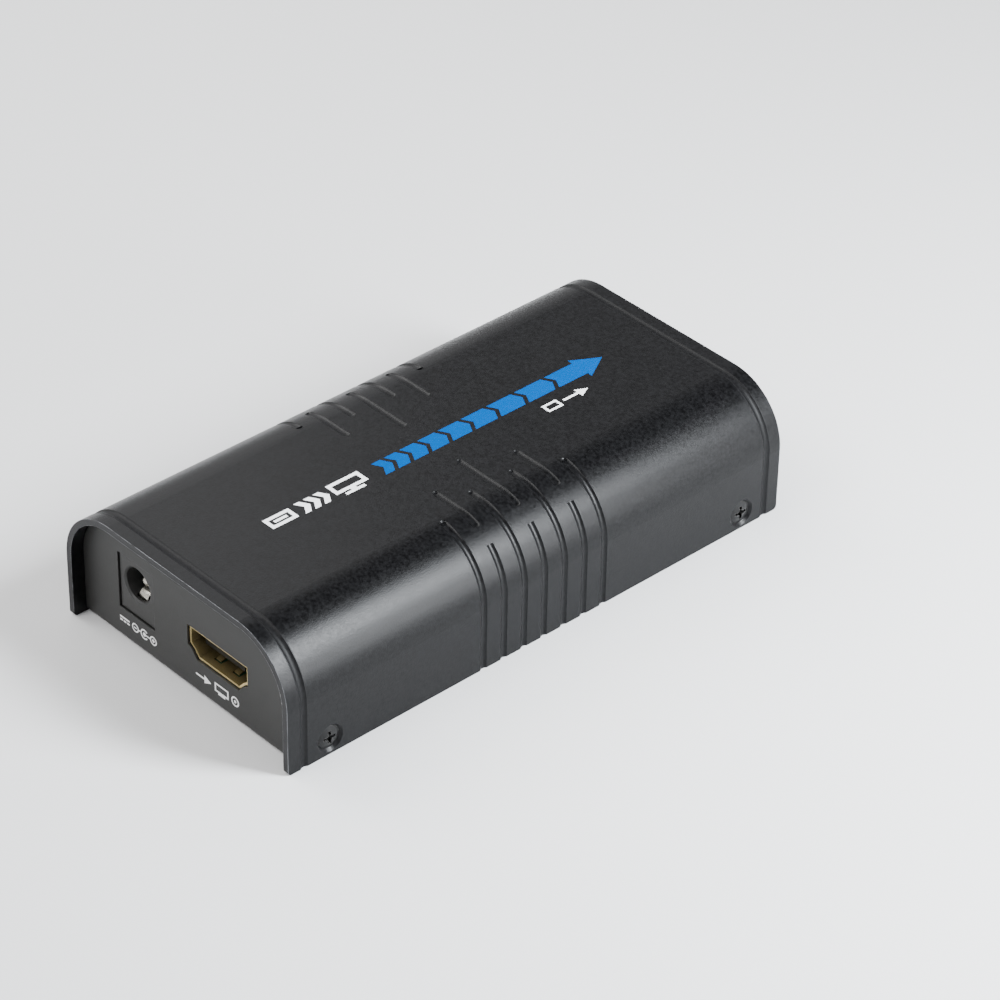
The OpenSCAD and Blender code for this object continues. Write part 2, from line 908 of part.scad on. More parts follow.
// A spring leaf folded back from the front frame into the plug's way
module lan_side_leaf() {
    inner_x = mouth_w / 2;
    translate([0, 0, spring_z])
        linear_extrude(spring_h)
            polygon([
                [inner_x, 0],
                [inner_x, lan_t],
                [inner_x - lan_t, spring_l],
                [inner_x - 2 * lan_t, spring_l],
                [inner_x - lan_t, 0]
            ]);
}

module lan_jack_housing() {
    color("#141414")
        at_rear(lan_x, lan_setback, board_top)
            difference() {
                union() {
                    block(lan_w - 2 * lan_t, lan_l - 2 * lan_t, lan_h - lan_t, y = lan_t);
                    for (side = [-1, 1])
                        translate([side * peg_x, peg_y, -board_t])
                            cylinder(h = board_t, d = peg_d);
                }
                lan_cavity();
                lan_light_pockets();
                lan_leaf_slots();
                for (i = [0:7])
                    translate([(i - 3.5) * lan_pitch, 0, 0])
                        lan_wire_slot();
            }
}

// The plug's way in, with the two steps of the latch notch over it
module lan_cavity() {
    block(plug_w, cavity_l + overrun, plug_h, y = -overrun, z = plug_z);
    block(notch_1_w, cavity_l + overrun, notch_1_h + overrun, y = -overrun, z = plug_z + plug_h - overrun);
    block(notch_2_w, cavity_l + overrun, notch_2_h + overrun, y = -overrun,
        z = plug_z + plug_h + notch_1_h - overrun);
}

module lan_light_pockets() {
    for (side = [-1, 1])
        translate([side * light_x, 0, 0])
            block(light_w, lan_l / 3 + overrun, light_h, y = -overrun, z = light_z);
}

module lan_leaf_slots() {
    for (side = [-1, 1])
        translate([side * mouth_w / 2, 0, 0])
            block(3 * lan_t, spring_l + 2 * lan_t + overrun, spring_h + 2 * lan_t, y = -overrun,
                z = spring_z - lan_t);
}

// The groove in the floor that frees one wire, and the way down for its leg
module lan_wire_slot() {
    block(slot_w, comb_l, plug_z, y = comb_y, z = comb_floor);
    block(slot_w, 2 * wire_t, plug_z + overrun, y = bend_y - wire_t / 2, z = -overrun);
}

// One wire drawn as (inwards, up): a leg, the bend and the sprung run that the plug presses
module lan_wire_outline() {
    bend_z = plug_z + comb_h / 2;
    run_l = 0.46 * lan_l;
    translate([bend_y + bend_in_r + wire_t, bend_z]) {
        ring_sector(bend_in_r + wire_t, bend_in_r, 90 + wire_rise_deg, 180);
        rotate(wire_rise_deg)
            translate([0, bend_in_r])
                square([run_l, wire_t]);
    }
    translate([bend_y, -board_t])
        square([wire_t, bend_z + board_t]);
}

module lan_jack_contacts() {
    color("#e0bd6a")
        at_rear(lan_x, lan_setback, board_top)
            for (i = [0:7])
                translate([(i - 3.5) * lan_pitch, 0, 0])
                    along_x(wire_w)
                        lan_wire_outline();
}

module lan_peg_holes() {
    translate([lan_x, panel_y - lan_setback])
        rotate(180) {
            for (side = [-1, 1]) {
                translate([side * peg_x, peg_y])
                    circle(d = peg_d + leg_play);
                translate([side * (lan_w / 2 - lan_t / 2), 0.5 * lan_l])
                    square([lan_t + 2 * leg_play, lan_l / 10 + 2 * leg_play], center = true);
            }
            for (i = [0:7])
                translate([(i - 3.5) * lan_pitch, bend_y + wire_t / 2])
                    square([wire_w + leg_play, wire_t + leg_play], center = true);
        }
}

// A light window that fills its pocket and shows in the frame's corner
module lan_light(side) {
    at_rear(lan_x, lan_setback, board_top)
        translate([side * light_x, 0, 0])
            block(light_w, lan_l / 3 - lan_t / 2, light_h, y = lan_t / 2, z = light_z);
}

module lan_light_yellow() {
    color("#c9c23a")
        lan_light(-1);
}

module lan_light_green() {
    color("#5fae4d")
        lan_light(1);
}

// Lays an axis along Y through the button, with z pointing out of the panel, at the given y
module on_button_axis(y) {
    translate([-reset_x, y, reset_z])
        rotate([-90, 0, 0])
            children();
}

module switch_body() {
    color("#232325")
        difference() {
            translate([-reset_x, 0, board_top])
                block(switch_w, switch_l, switch_h, y = switch_front_y - switch_l);
            on_button_axis(switch_front_y - pocket_l)
                cylinder(h = pocket_l + overrun, d = pocket_d);
        }
}

module switch_leg_holes() {
    for (side = [-1, 1])
        translate([-reset_x + side * (switch_w / 2 + frame_t / 2), switch_front_y - switch_l / 2])
            square([frame_t + 2 * leg_play, switch_l / 4 + 2 * leg_play], center = true);
}

module switch_frame() {
    leg_h = reset_axis_h / 2;
    color("#c4c1b8")
        difference() {
            translate([-reset_x, 0, board_top]) {
                block(switch_w + 2 * frame_t, frame_t, switch_h, y = switch_front_y);
                for (side = [-1, 1])
                    translate([side * (switch_w + frame_t) / 2, 0, 0]) {
                        block(frame_t, switch_l, leg_h, y = switch_front_y - switch_l, z = leg_h / 2);
                        block(frame_t, switch_l / 4, leg_h + 1.5 * board_t,
                            y = switch_front_y - 0.625 * switch_l, z = -1.5 * board_t);
                    }
            }
            on_button_axis(switch_front_y - overrun)
                cylinder(h = frame_t + 2 * overrun, d = reset_d + 2 * button_play);
        }
}

// The snap dome on the pocket's floor, a thin cap of a sphere
module switch_dome() {
    dome_r = (pow(dome_d / 2, 2) + pow(dome_h, 2)) / (2 * dome_h);
    color("#d0cdc4")
        on_button_axis(switch_front_y - pocket_l)
            rotate_extrude()
                intersection() {
                    translate([0, dome_h - dome_r])
                        difference() {
                            circle(dome_r, $fn = 200);
                            circle(dome_r - dome_t, $fn = 200);
                        }
                    square([dome_d, dome_h]);
                }
}

module reset_button() {
    flange_y = switch_front_y - rest_play - flange_t;
    nib_l = pocket_l - rest_play - flange_t - dome_h - reset_travel - rest_play;
    stem_l = reset_face_y - flange_y - flange_t;
    edge = reset_d / 12;
    color("#161617")
        on_button_axis(flange_y)
            rotate_extrude()
                polygon([
                    [0, -nib_l],
                    [nib_d / 2, -nib_l],
                    [nib_d / 2, 0],
                    [flange_d / 2, 0],
                    [flange_d / 2, flange_t],
                    [reset_d / 2, flange_t],
                    [reset_d / 2, flange_t + stem_l - edge],
                    [reset_d / 2 - edge, flange_t + stem_l],
                    [0, flange_t + stem_l]
                ]);
}

// Sizes of the pieces on the board
chip_h = 1.3;
lead_t = 0.15;
lead_l = 0.8;
processor_w = 15;
pad_t = 0.5;
sink_w = 20;
sink_base_h = 1.6;
fin_h = 4.8;
fin_t = 1;
fin_count = 8;
receiver_w = 10;
memory_w = 8.3;
memory_l = 11;
network_chip_w = 6;
transformer_w = 13;
transformer_l = 8.9;
transformer_h = 5.4;
flash_w = 5.2;
flash_l = 3.9;
crystal_w = 3.6;
crystal_h = 3.2;
inductor_w = 5;
inductor_h = 2.6;
can_d = 6.2;
can_h = 7.3;
regulator_w = 6.6;
regulator_l = 3.6;
array_w = 2.2;
array_l = 1;
filter_w = 2;
filter_l = 1.2;
part_l = 1.6;
part_w = 0.8;
// Free way between two neighbours on the board
chip_gap = 1;

// Their places, as shares of the board's width and length from its middle
processor_shares = [-0.02, 0];
memory_shares = [[0.36, -0.068], [0.36, 0.068]];
flash_shares = [-0.39, 0.035];
crystal_shares = [[-0.39, -0.03], [0.37, 0.17]];
inductor_shares = [[-0.39, -0.165], [0.4, -0.245]];
can_shares = [[-0.39, -0.24], [0.39, -0.172], [-0.39, 0.185], [-0.19, -0.27]];
regulator_shares = [[-0.39, -0.09], [-0.39, 0.105]];
receiver_x_share = 0.2;
network_chip_x_share = -0.235;

// Rows of small parts: where each row starts, and the step along the board
ceramic_row_shares = [[-0.24, -0.08], [0.235, -0.09], [0.2, 0.2], [-0.2, 0.12], [-0.06, -0.3]];
ceramic_row_counts = [9, 6, 4, 3, 5];
resistor_row_shares = [[0.04, -0.26], [0.06, 0.13], [0.3, 0.27], [-0.12, 0.12], [-0.02, -0.3]];
resistor_row_counts = [5, 3, 4, 3, 5];
row_step_share = 0.02;

// What lines up behind the video socket, from its contacts' feet inwards
array_pitch = 1.6 * array_w;
feet_y = -panel_y + video_setback + video_l + 3 * video_t + 3 * video_pitch;
array_y = feet_y + chip_gap + lead_l + array_l / 2;
filter_y = array_y + (array_l + filter_l) / 2 + lead_l + chip_gap / 2;
receiver_y = filter_y + (filter_l + receiver_w) / 2 + chip_gap + lead_l;

// What lines up behind the network jack
transformer_y = panel_y - lan_setback - lan_l - chip_gap - lead_l - transformer_l / 2;

module main_processor() {
    color("#1b1b1d")
        on_board(processor_shares) {
            chip(processor_w, processor_w, chip_h / 2);
            translate([0, 0, chip_h / 2])
                chip(0.86 * processor_w, 0.86 * processor_w, chip_h / 2);
        }
}

module thermal_pad() {
    color("#7d8ea6")
        on_board(processor_shares)
            translate([0, 0, chip_h])
                chip(0.8 * processor_w, 0.8 * processor_w, pad_t);
}

module heat_sink() {
    fin_pitch = (sink_w - fin_t) / (fin_count - 1);
    color("#8f9296")
        on_board(processor_shares)
            translate([0, 0, chip_h + pad_t]) {
                chip(sink_w, sink_w, sink_base_h);
                for (i = [0:fin_count - 1])
                    translate([-sink_w / 2 + fin_t / 2 + i * fin_pitch, 0, sink_base_h])
                        chip(fin_t, sink_w, fin_h);
            }
}

// A flat pack: its body on a small stand-off and a row of gull-wing leads on each chosen side
module flat_pack(w, l, h, count, sides) {
    lead_w = w / (2.6 * count);
    translate([0, 0, lead_t])
        chip(w, l, h);
    for (turn = sides)
        rotate([0, 0, turn])
            for (i = [0:count - 1])
                translate([(i - (count - 1) / 2) * w / (count + 1), -(turn % 180 == 0 ? l : w) / 2, 0]) {
                    block(lead_w, lead_l, lead_t, y = -lead_l);
                    block(lead_w, lead_t, h / 2 + lead_t, y = -lead_t);
                }
}

module video_receiver_chip() {
    color("#1d1d1f")
        translate([receiver_x_share * board_w, receiver_y, board_top])
            flat_pack(receiver_w, receiver_w, chip_h, 14, [0, 90, 180, 270]);
}

module memory_chips() {
    color("#202022")
        for (shares = memory_shares)
            on_board(shares)
                chip(memory_w, memory_l, chip_h);
}

module network_chip() {
    color("#1d1d1f")
        translate([network_chip_x_share * board_w, transformer_y - chip_gap, board_top])
            flat_pack(network_chip_w, network_chip_w, chip_h, 10, [0, 90, 180, 270]);
}

module network_transformer() {
    color("#17171a")
        translate([lan_x, transformer_y, board_top])
            flat_pack(transformer_w, transformer_l, transformer_h, 12, [0, 180]);
}

module flash_chip() {
    color("#1d1d1f")
        on_board(flash_shares)
            flat_pack(flash_w, flash_l, chip_h, 4, [0, 180]);
}

// A crystal can: a flat base and an oval can over it
module crystal() {
    base_h = crystal_h / 8;
    chip(1.9 * crystal_w, 1.15 * crystal_w, base_h);
    translate([0, 0, base_h]) {
        chip(0.9 * crystal_w, crystal_w, crystal_h);
        for (side = [-1, 1])
            translate([side * 0.45 * crystal_w, 0, 0])
                cylinder(h = crystal_h, d = crystal_w);
    }
}

module quartz_crystals() {
    color("#b5b7ba")
        for (shares = crystal_shares)
            on_board(shares)
                crystal();
}

// A drum core on its square base
module inductor() {
    base_h = inductor_h / 5;
    chip(inductor_w, inductor_w, base_h);
    translate([0, 0, base_h]) {
        cylinder(h = inductor_h, d = 0.74 * inductor_w);
        translate([0, 0, 0.75 * inductor_h])
            cylinder(h = inductor_h / 4, d = 0.96 * inductor_w);
    }
}

module power_inductors() {
    color("#3a3b3d")
        for (shares = inductor_shares)
            on_board(shares)
                inductor();
}

// An electrolytic can on its square foot with two cut corners, and the bead round its rim
module can_capacitor() {
    foot = 1.05 * can_d;
    foot_h = can_h / 10;
    linear_extrude(foot_h)
        polygon([
            [-foot / 2, -foot / 2],
            [foot / 2, -foot / 2],
            [foot / 2, foot / 4],
            [foot / 4, foot / 2],
            [-foot / 4, foot / 2],
            [-foot / 2, foot / 4]
        ]);
    translate([0, 0, foot_h])
        rotate_extrude()
            polygon([
                [0, 0],
                [0.46 * can_d, 0],
                [0.5 * can_d, 0.05 * can_h],
                [0.5 * can_d, 0.12 * can_h],
                [0.47 * can_d, 0.16 * can_h],
                [0.5 * can_d, 0.2 * can_h],
                [0.5 * can_d, 0.97 * can_h],
                [0.47 * can_d, can_h],
                [0, can_h]
            ]);
}

module electrolytic_capacitors() {
    color("#a9abae")
        for (shares = can_shares)
            on_board(shares)
                can_capacitor();
}

// A regulator with one wide tab and three leads
module regulator() {
    translate([0, 0, lead_t])
        chip(regulator_w, regulator_l, chip_h);
    block(0.45 * regulator_w, lead_l + lead_t, lead_t, y = regulator_l / 2 - lead_t);
    for (i = [-1, 0, 1])
        translate([i * regulator_w / 3, 0, 0])
            block(regulator_w / 9, lead_l + lead_t, lead_t, y = -regulator_l / 2 - lead_l);
}

module voltage_regulators() {
    color("#1f1f21")
        for (shares = regulator_shares)
            on_board(shares)
                regulator();
}

module protection_arrays() {
    color("#1c1c1e")
        for (i = [0:3])
            translate([video_x + (i - 1.5) * array_pitch, array_y, board_top])
                flat_pack(array_w, array_l, chip_h / 2, 3, [0, 180]);
}

module line_filters() {
    color("#5d6064")
        for (i = [0:3])
            translate([video_x + (i - 1.5) * array_pitch, filter_y, board_top])
                chip(filter_w, filter_l, 0.7 * chip_h);
}

// Rows of small parts, each row from its start towards the rear
module part_rows(row_shares, counts) {
    for (row = [0:len(counts) - 1], i = [0:counts[row] - 1])
        on_board([row_shares[row][0], row_shares[row][1] + i * row_step_share])
            chip(part_l, part_w, part_w);
}

module ceramic_capacitors() {
    color("#a5896a")
        part_rows(ceramic_row_shares, ceramic_row_counts);
}

module chip_resistors() {
    color("#2b2b2d")
        part_rows(resistor_row_shares, resistor_row_counts);
}

cover();
tray();
cover_screws();
board_standoffs();
circuit_board();
board_screws();
power_jack_body();
power_jack_pin();
power_jack_spring();
video_socket_shell();
video_socket_insert();
video_socket_contacts();
lan_jack_shield();
lan_jack_housing();
lan_jack_contacts();
lan_light_yellow();
lan_light_green();
switch_body();
switch_frame();
switch_dome();
reset_button();
main_processor();
thermal_pad();
heat_sink();
video_receiver_chip();
memory_chips();
network_chip();
network_transformer();
flash_chip();
quartz_crystals();
power_inductors();
electrolytic_capacitors();
voltage_regulators();
protection_arrays();
line_filters();
ceramic_capacitors();
chip_resistors();
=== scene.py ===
"""Dresses the video extender: a finish for every piece, the printed marks, the studio and the camera."""

import math

import bpy
from mathutils import Matrix, Vector
from mathutils.geometry import tessellate_polygon
from mathutils.kdtree import KDTree


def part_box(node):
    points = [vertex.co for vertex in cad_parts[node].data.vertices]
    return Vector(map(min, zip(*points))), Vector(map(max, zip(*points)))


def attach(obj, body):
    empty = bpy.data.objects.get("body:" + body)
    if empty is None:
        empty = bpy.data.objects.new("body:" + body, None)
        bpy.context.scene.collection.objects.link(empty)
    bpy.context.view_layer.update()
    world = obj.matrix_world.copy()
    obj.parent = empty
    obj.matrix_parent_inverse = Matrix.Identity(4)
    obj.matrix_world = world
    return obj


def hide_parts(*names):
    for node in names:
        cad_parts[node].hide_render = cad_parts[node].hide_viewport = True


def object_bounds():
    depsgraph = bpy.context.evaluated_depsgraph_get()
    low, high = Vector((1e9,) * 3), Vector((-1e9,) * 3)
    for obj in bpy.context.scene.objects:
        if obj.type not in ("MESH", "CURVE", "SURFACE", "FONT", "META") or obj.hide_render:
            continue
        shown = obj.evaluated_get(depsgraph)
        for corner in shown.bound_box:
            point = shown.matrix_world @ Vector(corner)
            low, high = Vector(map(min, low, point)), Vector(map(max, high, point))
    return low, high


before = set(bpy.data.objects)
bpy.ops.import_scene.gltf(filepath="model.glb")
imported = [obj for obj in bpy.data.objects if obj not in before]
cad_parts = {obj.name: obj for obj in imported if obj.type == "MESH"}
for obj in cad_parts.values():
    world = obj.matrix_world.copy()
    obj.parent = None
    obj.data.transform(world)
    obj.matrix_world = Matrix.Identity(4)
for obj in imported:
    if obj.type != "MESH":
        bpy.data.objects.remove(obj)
cad_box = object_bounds()

# The object's lengths are in millimetres and are multiplied by MM where Blender takes them.
MM = 0.001
TOP_Z = cad_box[1][2] / MM
PANEL_FRONT_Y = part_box("tray")[0][1] / MM
PANEL_REAR_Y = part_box("tray")[1][1] / MM

# The ends of the cover, by a point's distance from the middle along the box.
END_GROOVE_FROM = 52.2
END_GROOVE_TO = 54.05
# Beyond this the cover's rims are rubbed light: partly real rubbing, partly a painted highlight.
WORN_AND_HIGHLIT_END_FROM = 54.3
# Beyond this the end faces are painted a lighter tone, painted light for the light that they catch.
LIT_END_FROM = 56.4

# The camera, fitted to the box's edges: angles in degrees, lens and film in millimetres.
CAMERA_AZIMUTH = 46.93
CAMERA_ELEVATION = 35.73
CAMERA_ROLL = 1.14
CAMERA_LENS = 142.2
CAMERA_FILM = 36
CAMERA_RIGHT, CAMERA_UP, CAMERA_BACK = 12.16, 10.40, 688.85

# The studio, in metres: light colours, the height that the lights aim at, and the room and its floor.
COOL_WHITE = (0.92, 0.96, 1.0)
FAINTLY_COOL_WHITE = (0.94, 0.97, 1.0)
WHITE = (1, 1, 1)
AIM_HEIGHT = 0.01
ROOM_STRENGTH = 1.4
ROOM_BLUE = 1.02
# How pale the room is from the height of the floor, 0, to overhead, 1.
ROOM_TONES = ((0.0, 0.90), (0.45, 0.75), (0.60, 0.38), (0.74, 0.12), (1.0, 0.05))
FLOOR_REACH = 6.0
FLOOR_DROP = 0.00002
FLOOR_TONE = 0.66


# Camera and light


def make_camera():
    """The photograph's view: its direction, lens and place."""
    azimuth = math.radians(CAMERA_AZIMUTH)
    elevation = math.radians(CAMERA_ELEVATION)
    roll = math.radians(CAMERA_ROLL)
    back = Vector(
        (
            math.sin(azimuth) * math.cos(elevation),
            -math.cos(azimuth) * math.cos(elevation),
            math.sin(elevation),
        )
    )
    level = Vector((math.cos(azimuth), math.sin(azimuth), 0))
    upright = back.cross(level)
    right = level * math.cos(roll) + upright * math.sin(roll)
    up = upright * math.cos(roll) - level * math.sin(roll)
    data = bpy.data.cameras.new("camera")
    data.sensor_width = CAMERA_FILM
    data.lens = CAMERA_LENS
    data.clip_start = 0.05
    data.clip_end = 20
    camera = bpy.data.objects.new("camera", data)
    camera.location = (right * CAMERA_RIGHT + up * CAMERA_UP + back * CAMERA_BACK) * MM
    camera.rotation_mode = "QUATERNION"
    camera.rotation_quaternion = Matrix((right, up, back)).transposed().to_quaternion()
    bpy.context.scene.collection.objects.link(camera)
    bpy.context.scene.camera = camera


def softbox(name, direction, distance, width, height, power, colour=WHITE):
    """An area light in the given direction from the object, in metres, turned to face it."""
    data = bpy.data.lights.new(name, "AREA")
    data.shape = "RECTANGLE"
    data.size = width
    data.size_y = height
    data.energy = power
    data.color = colour
    light = bpy.data.objects.new(name, data)
    away = Vector(direction).normalized()
    light.location = away * distance + Vector((0, 0, AIM_HEIGHT))
    light.rotation_mode = "QUATERNION"
    light.rotation_quaternion = away.to_track_quat("Z", "Y")
    bpy.context.scene.collection.objects.link(light)


def make_lights():
    """A key light and a card at the right rear, a card at the left, and two wide soft lights."""
    softbox(
        "right_rear_softbox", direction=(275, 138, 252), distance=0.398, width=0.115, height=0.21,
        power=6.3, colour=COOL_WHITE,
    )
    softbox(
        "right_rear_card", direction=(345, 150, 72), distance=0.383, width=0.13, height=0.13,
        power=1.45, colour=FAINTLY_COOL_WHITE,
    )
    softbox(
        "left_card", direction=(-225, 72, 222), distance=0.318, width=0.17, height=0.19, power=0.23
    )
    softbox(
        "left_softbox", direction=(-0.9, -0.25, 0.8), distance=1.2, width=0.6, height=0.6, power=12
    )
    softbox(
        "front_softbox", direction=(-0.2, -0.6, 0.8), distance=1.3, width=0.6, height=0.5, power=12
    )


def make_world():
    """A studio that is pale up to the height of its walls and dark overhead."""
    world = bpy.data.worlds.new("studio")
    world.use_nodes = True
    tree = world.node_tree
    tree.nodes.clear()
    place = tree.nodes.new("ShaderNodeTexCoord")
    split = tree.nodes.new("ShaderNodeSeparateXYZ")
    ramp = tree.nodes.new("ShaderNodeValToRGB")
    sky = tree.nodes.new("ShaderNodeBackground")
    out = tree.nodes.new("ShaderNodeOutputWorld")
    stops = ramp.color_ramp.elements
    while len(stops) < len(ROOM_TONES):
        stops.new(0.5)
    for stop, (height, tone) in zip(stops, ROOM_TONES):
        stop.position = height
        stop.color = (tone, tone, tone * ROOM_BLUE, 1)
    sky.inputs["Strength"].default_value = ROOM_STRENGTH
    tree.links.new(place.outputs["Generated"], split.inputs[0])
    tree.links.new(split.outputs["Z"], ramp.inputs["Fac"])
    tree.links.new(ramp.outputs["Color"], sky.inputs["Color"])
    tree.links.new(sky.outputs[0], out.inputs["Surface"])
    bpy.context.scene.world = world


def make_floor():
    """A pale floor that shows from above only, so that the underside can be looked at."""
    mesh = bpy.data.meshes.new("floor")
    signs = ((-1, -1), (1, -1), (1, 1), (-1, 1))
    corners = [(x * FLOOR_REACH, y * FLOOR_REACH, -FLOOR_DROP) for x, y in signs]
    mesh.from_pydata(corners, [], [(0, 1, 2, 3)])
    floor = bpy.data.objects.new("floor", mesh)
    bpy.context.scene.collection.objects.link(floor)
    material = bpy.data.materials.new("pale_floor")
    material.use_nodes = True
    tree = material.node_tree
    shader = tree.nodes["Principled BSDF"]
    shader.inputs["Base Color"].default_value = (FLOOR_TONE, FLOOR_TONE, FLOOR_TONE, 1)
    shader.inputs["Roughness"].default_value = 0.9
    shader.inputs["Specular IOR Level"].default_value = 0.1
    clear = tree.nodes.new("ShaderNodeBsdfTransparent")
    mix = tree.nodes.new("ShaderNodeMixShader")
    side = tree.nodes.new("ShaderNodeNewGeometry")
    out = tree.nodes["Material Output"]
    tree.links.new(side.outputs["Backfacing"], mix.inputs["Fac"])
    tree.links.new(shader.outputs[0], mix.inputs[1])
    tree.links.new(clear.outputs[0], mix.inputs[2])
    tree.links.new(mix.outputs[0], out.inputs["Surface"])
    mesh.materials.append(material)


# Effects that the finishes share


def new_group(name, inputs, outputs):
    """An empty shader group with named sockets: inputs are (name, value), outputs (name, type)."""
    group = bpy.data.node_groups.new(name, "ShaderNodeTree")
    for label, value in inputs:
        socket = group.interface.new_socket(label, in_out="INPUT", socket_type="NodeSocketFloat")
        socket.default_value = value
    for label, kind in outputs:
        group.interface.new_socket(label, in_out="OUTPUT", socket_type=kind)
    start = group.nodes.new("NodeGroupInput")
    end = group.nodes.new("NodeGroupOutput")
    return group, start.outputs, end.inputs


def feed(tree, value, socket):
    """Gives a socket a number or a colour, or links it to the output that it is to follow."""
    if isinstance(value, bpy.types.NodeSocket):
        tree.links.new(value, socket)
    else:
        socket.default_value = value


def maths(tree, operation, *values):
    """One step of arithmetic on numbers or outputs."""
    node = tree.nodes.new("ShaderNodeMath")
    node.operation = operation
    for value, socket in zip(values, node.inputs):
        feed(tree, value, socket)
    return node.outputs[0]


def spread(tree, value, low, high, to_low=0.0, to_high=1.0):
    """Maps a value's range low..high to to_low..to_high, kept within it."""
    node = tree.nodes.new("ShaderNodeMapRange")
    tree.links.new(value, node.inputs["Value"])
    ends = {"From Min": low, "From Max": high, "To Min": to_low, "To Max": to_high}
    for label, end in ends.items():
        feed(tree, end, node.inputs[label])
    return node.outputs["Result"]


def noise(tree, scale, detail, rough):
    """Cloudy noise on the object's own coordinates."""
    node = tree.nodes.new("ShaderNodeTexNoise")
    node.inputs["Detail"].default_value = detail
    node.inputs["Roughness"].default_value = rough
    tree.links.new(scale, node.inputs["Scale"])
    tree.links.new(object_place(tree), node.inputs["Vector"])
    return node.outputs["Fac"]


def object_place(tree):
    """The place of a point in the object's own coordinates, in metres."""
    return tree.nodes.new("ShaderNodeTexCoord").outputs["Object"]


def per_millimetre(tree, size):
    """The scale of a pattern whose features have a size in millimetres."""
    return maths(tree, "DIVIDE", 1.0 / MM, size)


def beyond(tree, distance):
    """1 where a point lies further than a distance to the front or the rear, else 0."""
    split = tree.nodes.new("ShaderNodeSeparateXYZ")
    tree.links.new(object_place(tree), split.inputs[0])
    reach = maths(tree, "MULTIPLY", maths(tree, "ABSOLUTE", split.outputs["Y"]), 1.0 / MM)
    return maths(tree, "GREATER_THAN", reach, distance)


def make_grain_group():
    """Fine blasted or moulded grain: a height for the bump, speckle and a tone that wanders slowly."""
    group, given, out = new_group(
        "fine_grain",
        [("Grain Size", 0.2), ("Cloud Size", 9.0)],
        [("Height", "NodeSocketFloat"), ("Speckle", "NodeSocketFloat"), ("Cloud", "NodeSocketFloat")],
    )
    speckle_share = 0.43
    fine = per_millimetre(group, given["Grain Size"])
    grain = noise(group, fine, detail=3.0, rough=0.65)
    speckle = noise(group, maths(group, "MULTIPLY", fine, speckle_share), detail=2.0, rough=0.6)
    cloud = noise(group, per_millimetre(group, given["Cloud Size"]), detail=3.0, rough=0.5)
    group.links.new(grain, out["Height"])
    group.links.new(spread(group, speckle, 0.32, 0.68), out["Speckle"])
    group.links.new(spread(group, cloud, 0.3, 0.7), out["Cloud"])
    return group


def make_wear_and_highlight_group():
    """Rounded edges, where their finish has rubbed thin and where it is chipped off; on the cover's rims the
    rubbed line is also a painted highlight.
    """
    group, given, out = new_group(
        "edge_wear_and_highlight",
        [
            ("Edge Radius", 0.12),
            ("Amount", 0.5),
            ("Patch Size", 2.0),
            ("Coverage", 0.3),
            ("Chips", 0.0),
            ("Only Beyond", 0.0),
        ],
        [("Mask", "NodeSocketFloat"), ("Chip", "NodeSocketFloat"), ("Normal", "NodeSocketVector")],
    )
    soft = group.nodes.new("ShaderNodeBevel")
    soft.samples = 8
    group.links.new(maths(group, "MULTIPLY", given["Edge Radius"], MM), soft.inputs["Radius"])
    true = group.nodes.new("ShaderNodeNewGeometry")
    lean = group.nodes.new("ShaderNodeVectorMath")
    lean.operation = "DOT_PRODUCT"
    group.links.new(soft.outputs["Normal"], lean.inputs[0])
    group.links.new(true.outputs["Normal"], lean.inputs[1])
    flatness = lean.outputs["Value"]
    zone = beyond(group, given["Only Beyond"])

    edge = maths(group, "MULTIPLY", spread(group, flatness, 0.995, 0.86), zone)
    patch_scale = per_millimetre(group, given["Patch Size"])
    patches = noise(group, patch_scale, detail=5.0, rough=0.7)
    fully_covered, coverage_step, patch_blur = 0.68, 0.5, 0.16
    start = maths(
        group, "SUBTRACT", fully_covered, maths(group, "MULTIPLY", given["Coverage"], coverage_step)
    )
    kept = spread(group, patches, start, maths(group, "ADD", start, patch_blur))
    worn_and_highlit = maths(group, "MULTIPLY", maths(group, "MULTIPLY", edge, kept), given["Amount"])

    chip_scale = maths(group, "MULTIPLY", patch_scale, 1.7)
    spots = noise(group, chip_scale, detail=1.0, rough=0.5)
    chipped = maths(group, "MULTIPLY", spread(group, spots, 0.70, 0.74), given["Chips"])
    chipped = maths(group, "MULTIPLY", chipped, spread(group, flatness, 0.999, 0.97))

    rounded = group.nodes.new("ShaderNodeMix")
    rounded.data_type = "VECTOR"
    vectors = [socket for socket in rounded.inputs if socket.type == "VECTOR"]
    group.links.new(zone, rounded.inputs[0])
    group.links.new(true.outputs["Normal"], vectors[-2])
    group.links.new(soft.outputs["Normal"], vectors[-1])
    group.links.new(worn_and_highlit, out["Mask"])
    group.links.new(maths(group, "MULTIPLY", chipped, zone), out["Chip"])
    mixed = [socket for socket in rounded.outputs if socket.type == "VECTOR"][0]
    group.links.new(mixed, out["Normal"])
    return group


def make_zone_group():
    """The two ends of a piece, beyond a distance from its middle."""
    group, given, out = new_group(
        "end_zone", [("Beyond", LIT_END_FROM)], [("Mask", "NodeSocketFloat")]
    )
    group.links.new(beyond(group, given["Beyond"]), out["Mask"])
    return group


def make_dust_group():
    """Scattered pale specks of lint and dust."""
    group, given, out = new_group(
        "dust_specks", [("Spacing", 4.0), ("Speck Size", 0.1)], [("Mask", "NodeSocketFloat")]
    )
    core_share = 0.4
    cells = group.nodes.new("ShaderNodeTexVoronoi")
    cells.feature = "F1"
    group.links.new(object_place(group), cells.inputs["Vector"])
    group.links.new(per_millimetre(group, given["Spacing"]), cells.inputs["Scale"])
    reach = maths(group, "DIVIDE", given["Speck Size"], given["Spacing"])
    core = maths(group, "MULTIPLY", reach, core_share)
    dot = spread(group, cells.outputs["Distance"], reach, core)
    pick = group.nodes.new("ShaderNodeSeparateColor")
    group.links.new(cells.outputs["Color"], pick.inputs[0])
    chosen = spread(group, pick.outputs[0], 0.55, 0.6)
    group.links.new(maths(group, "MULTIPLY", dot, chosen), out["Mask"])
    return group


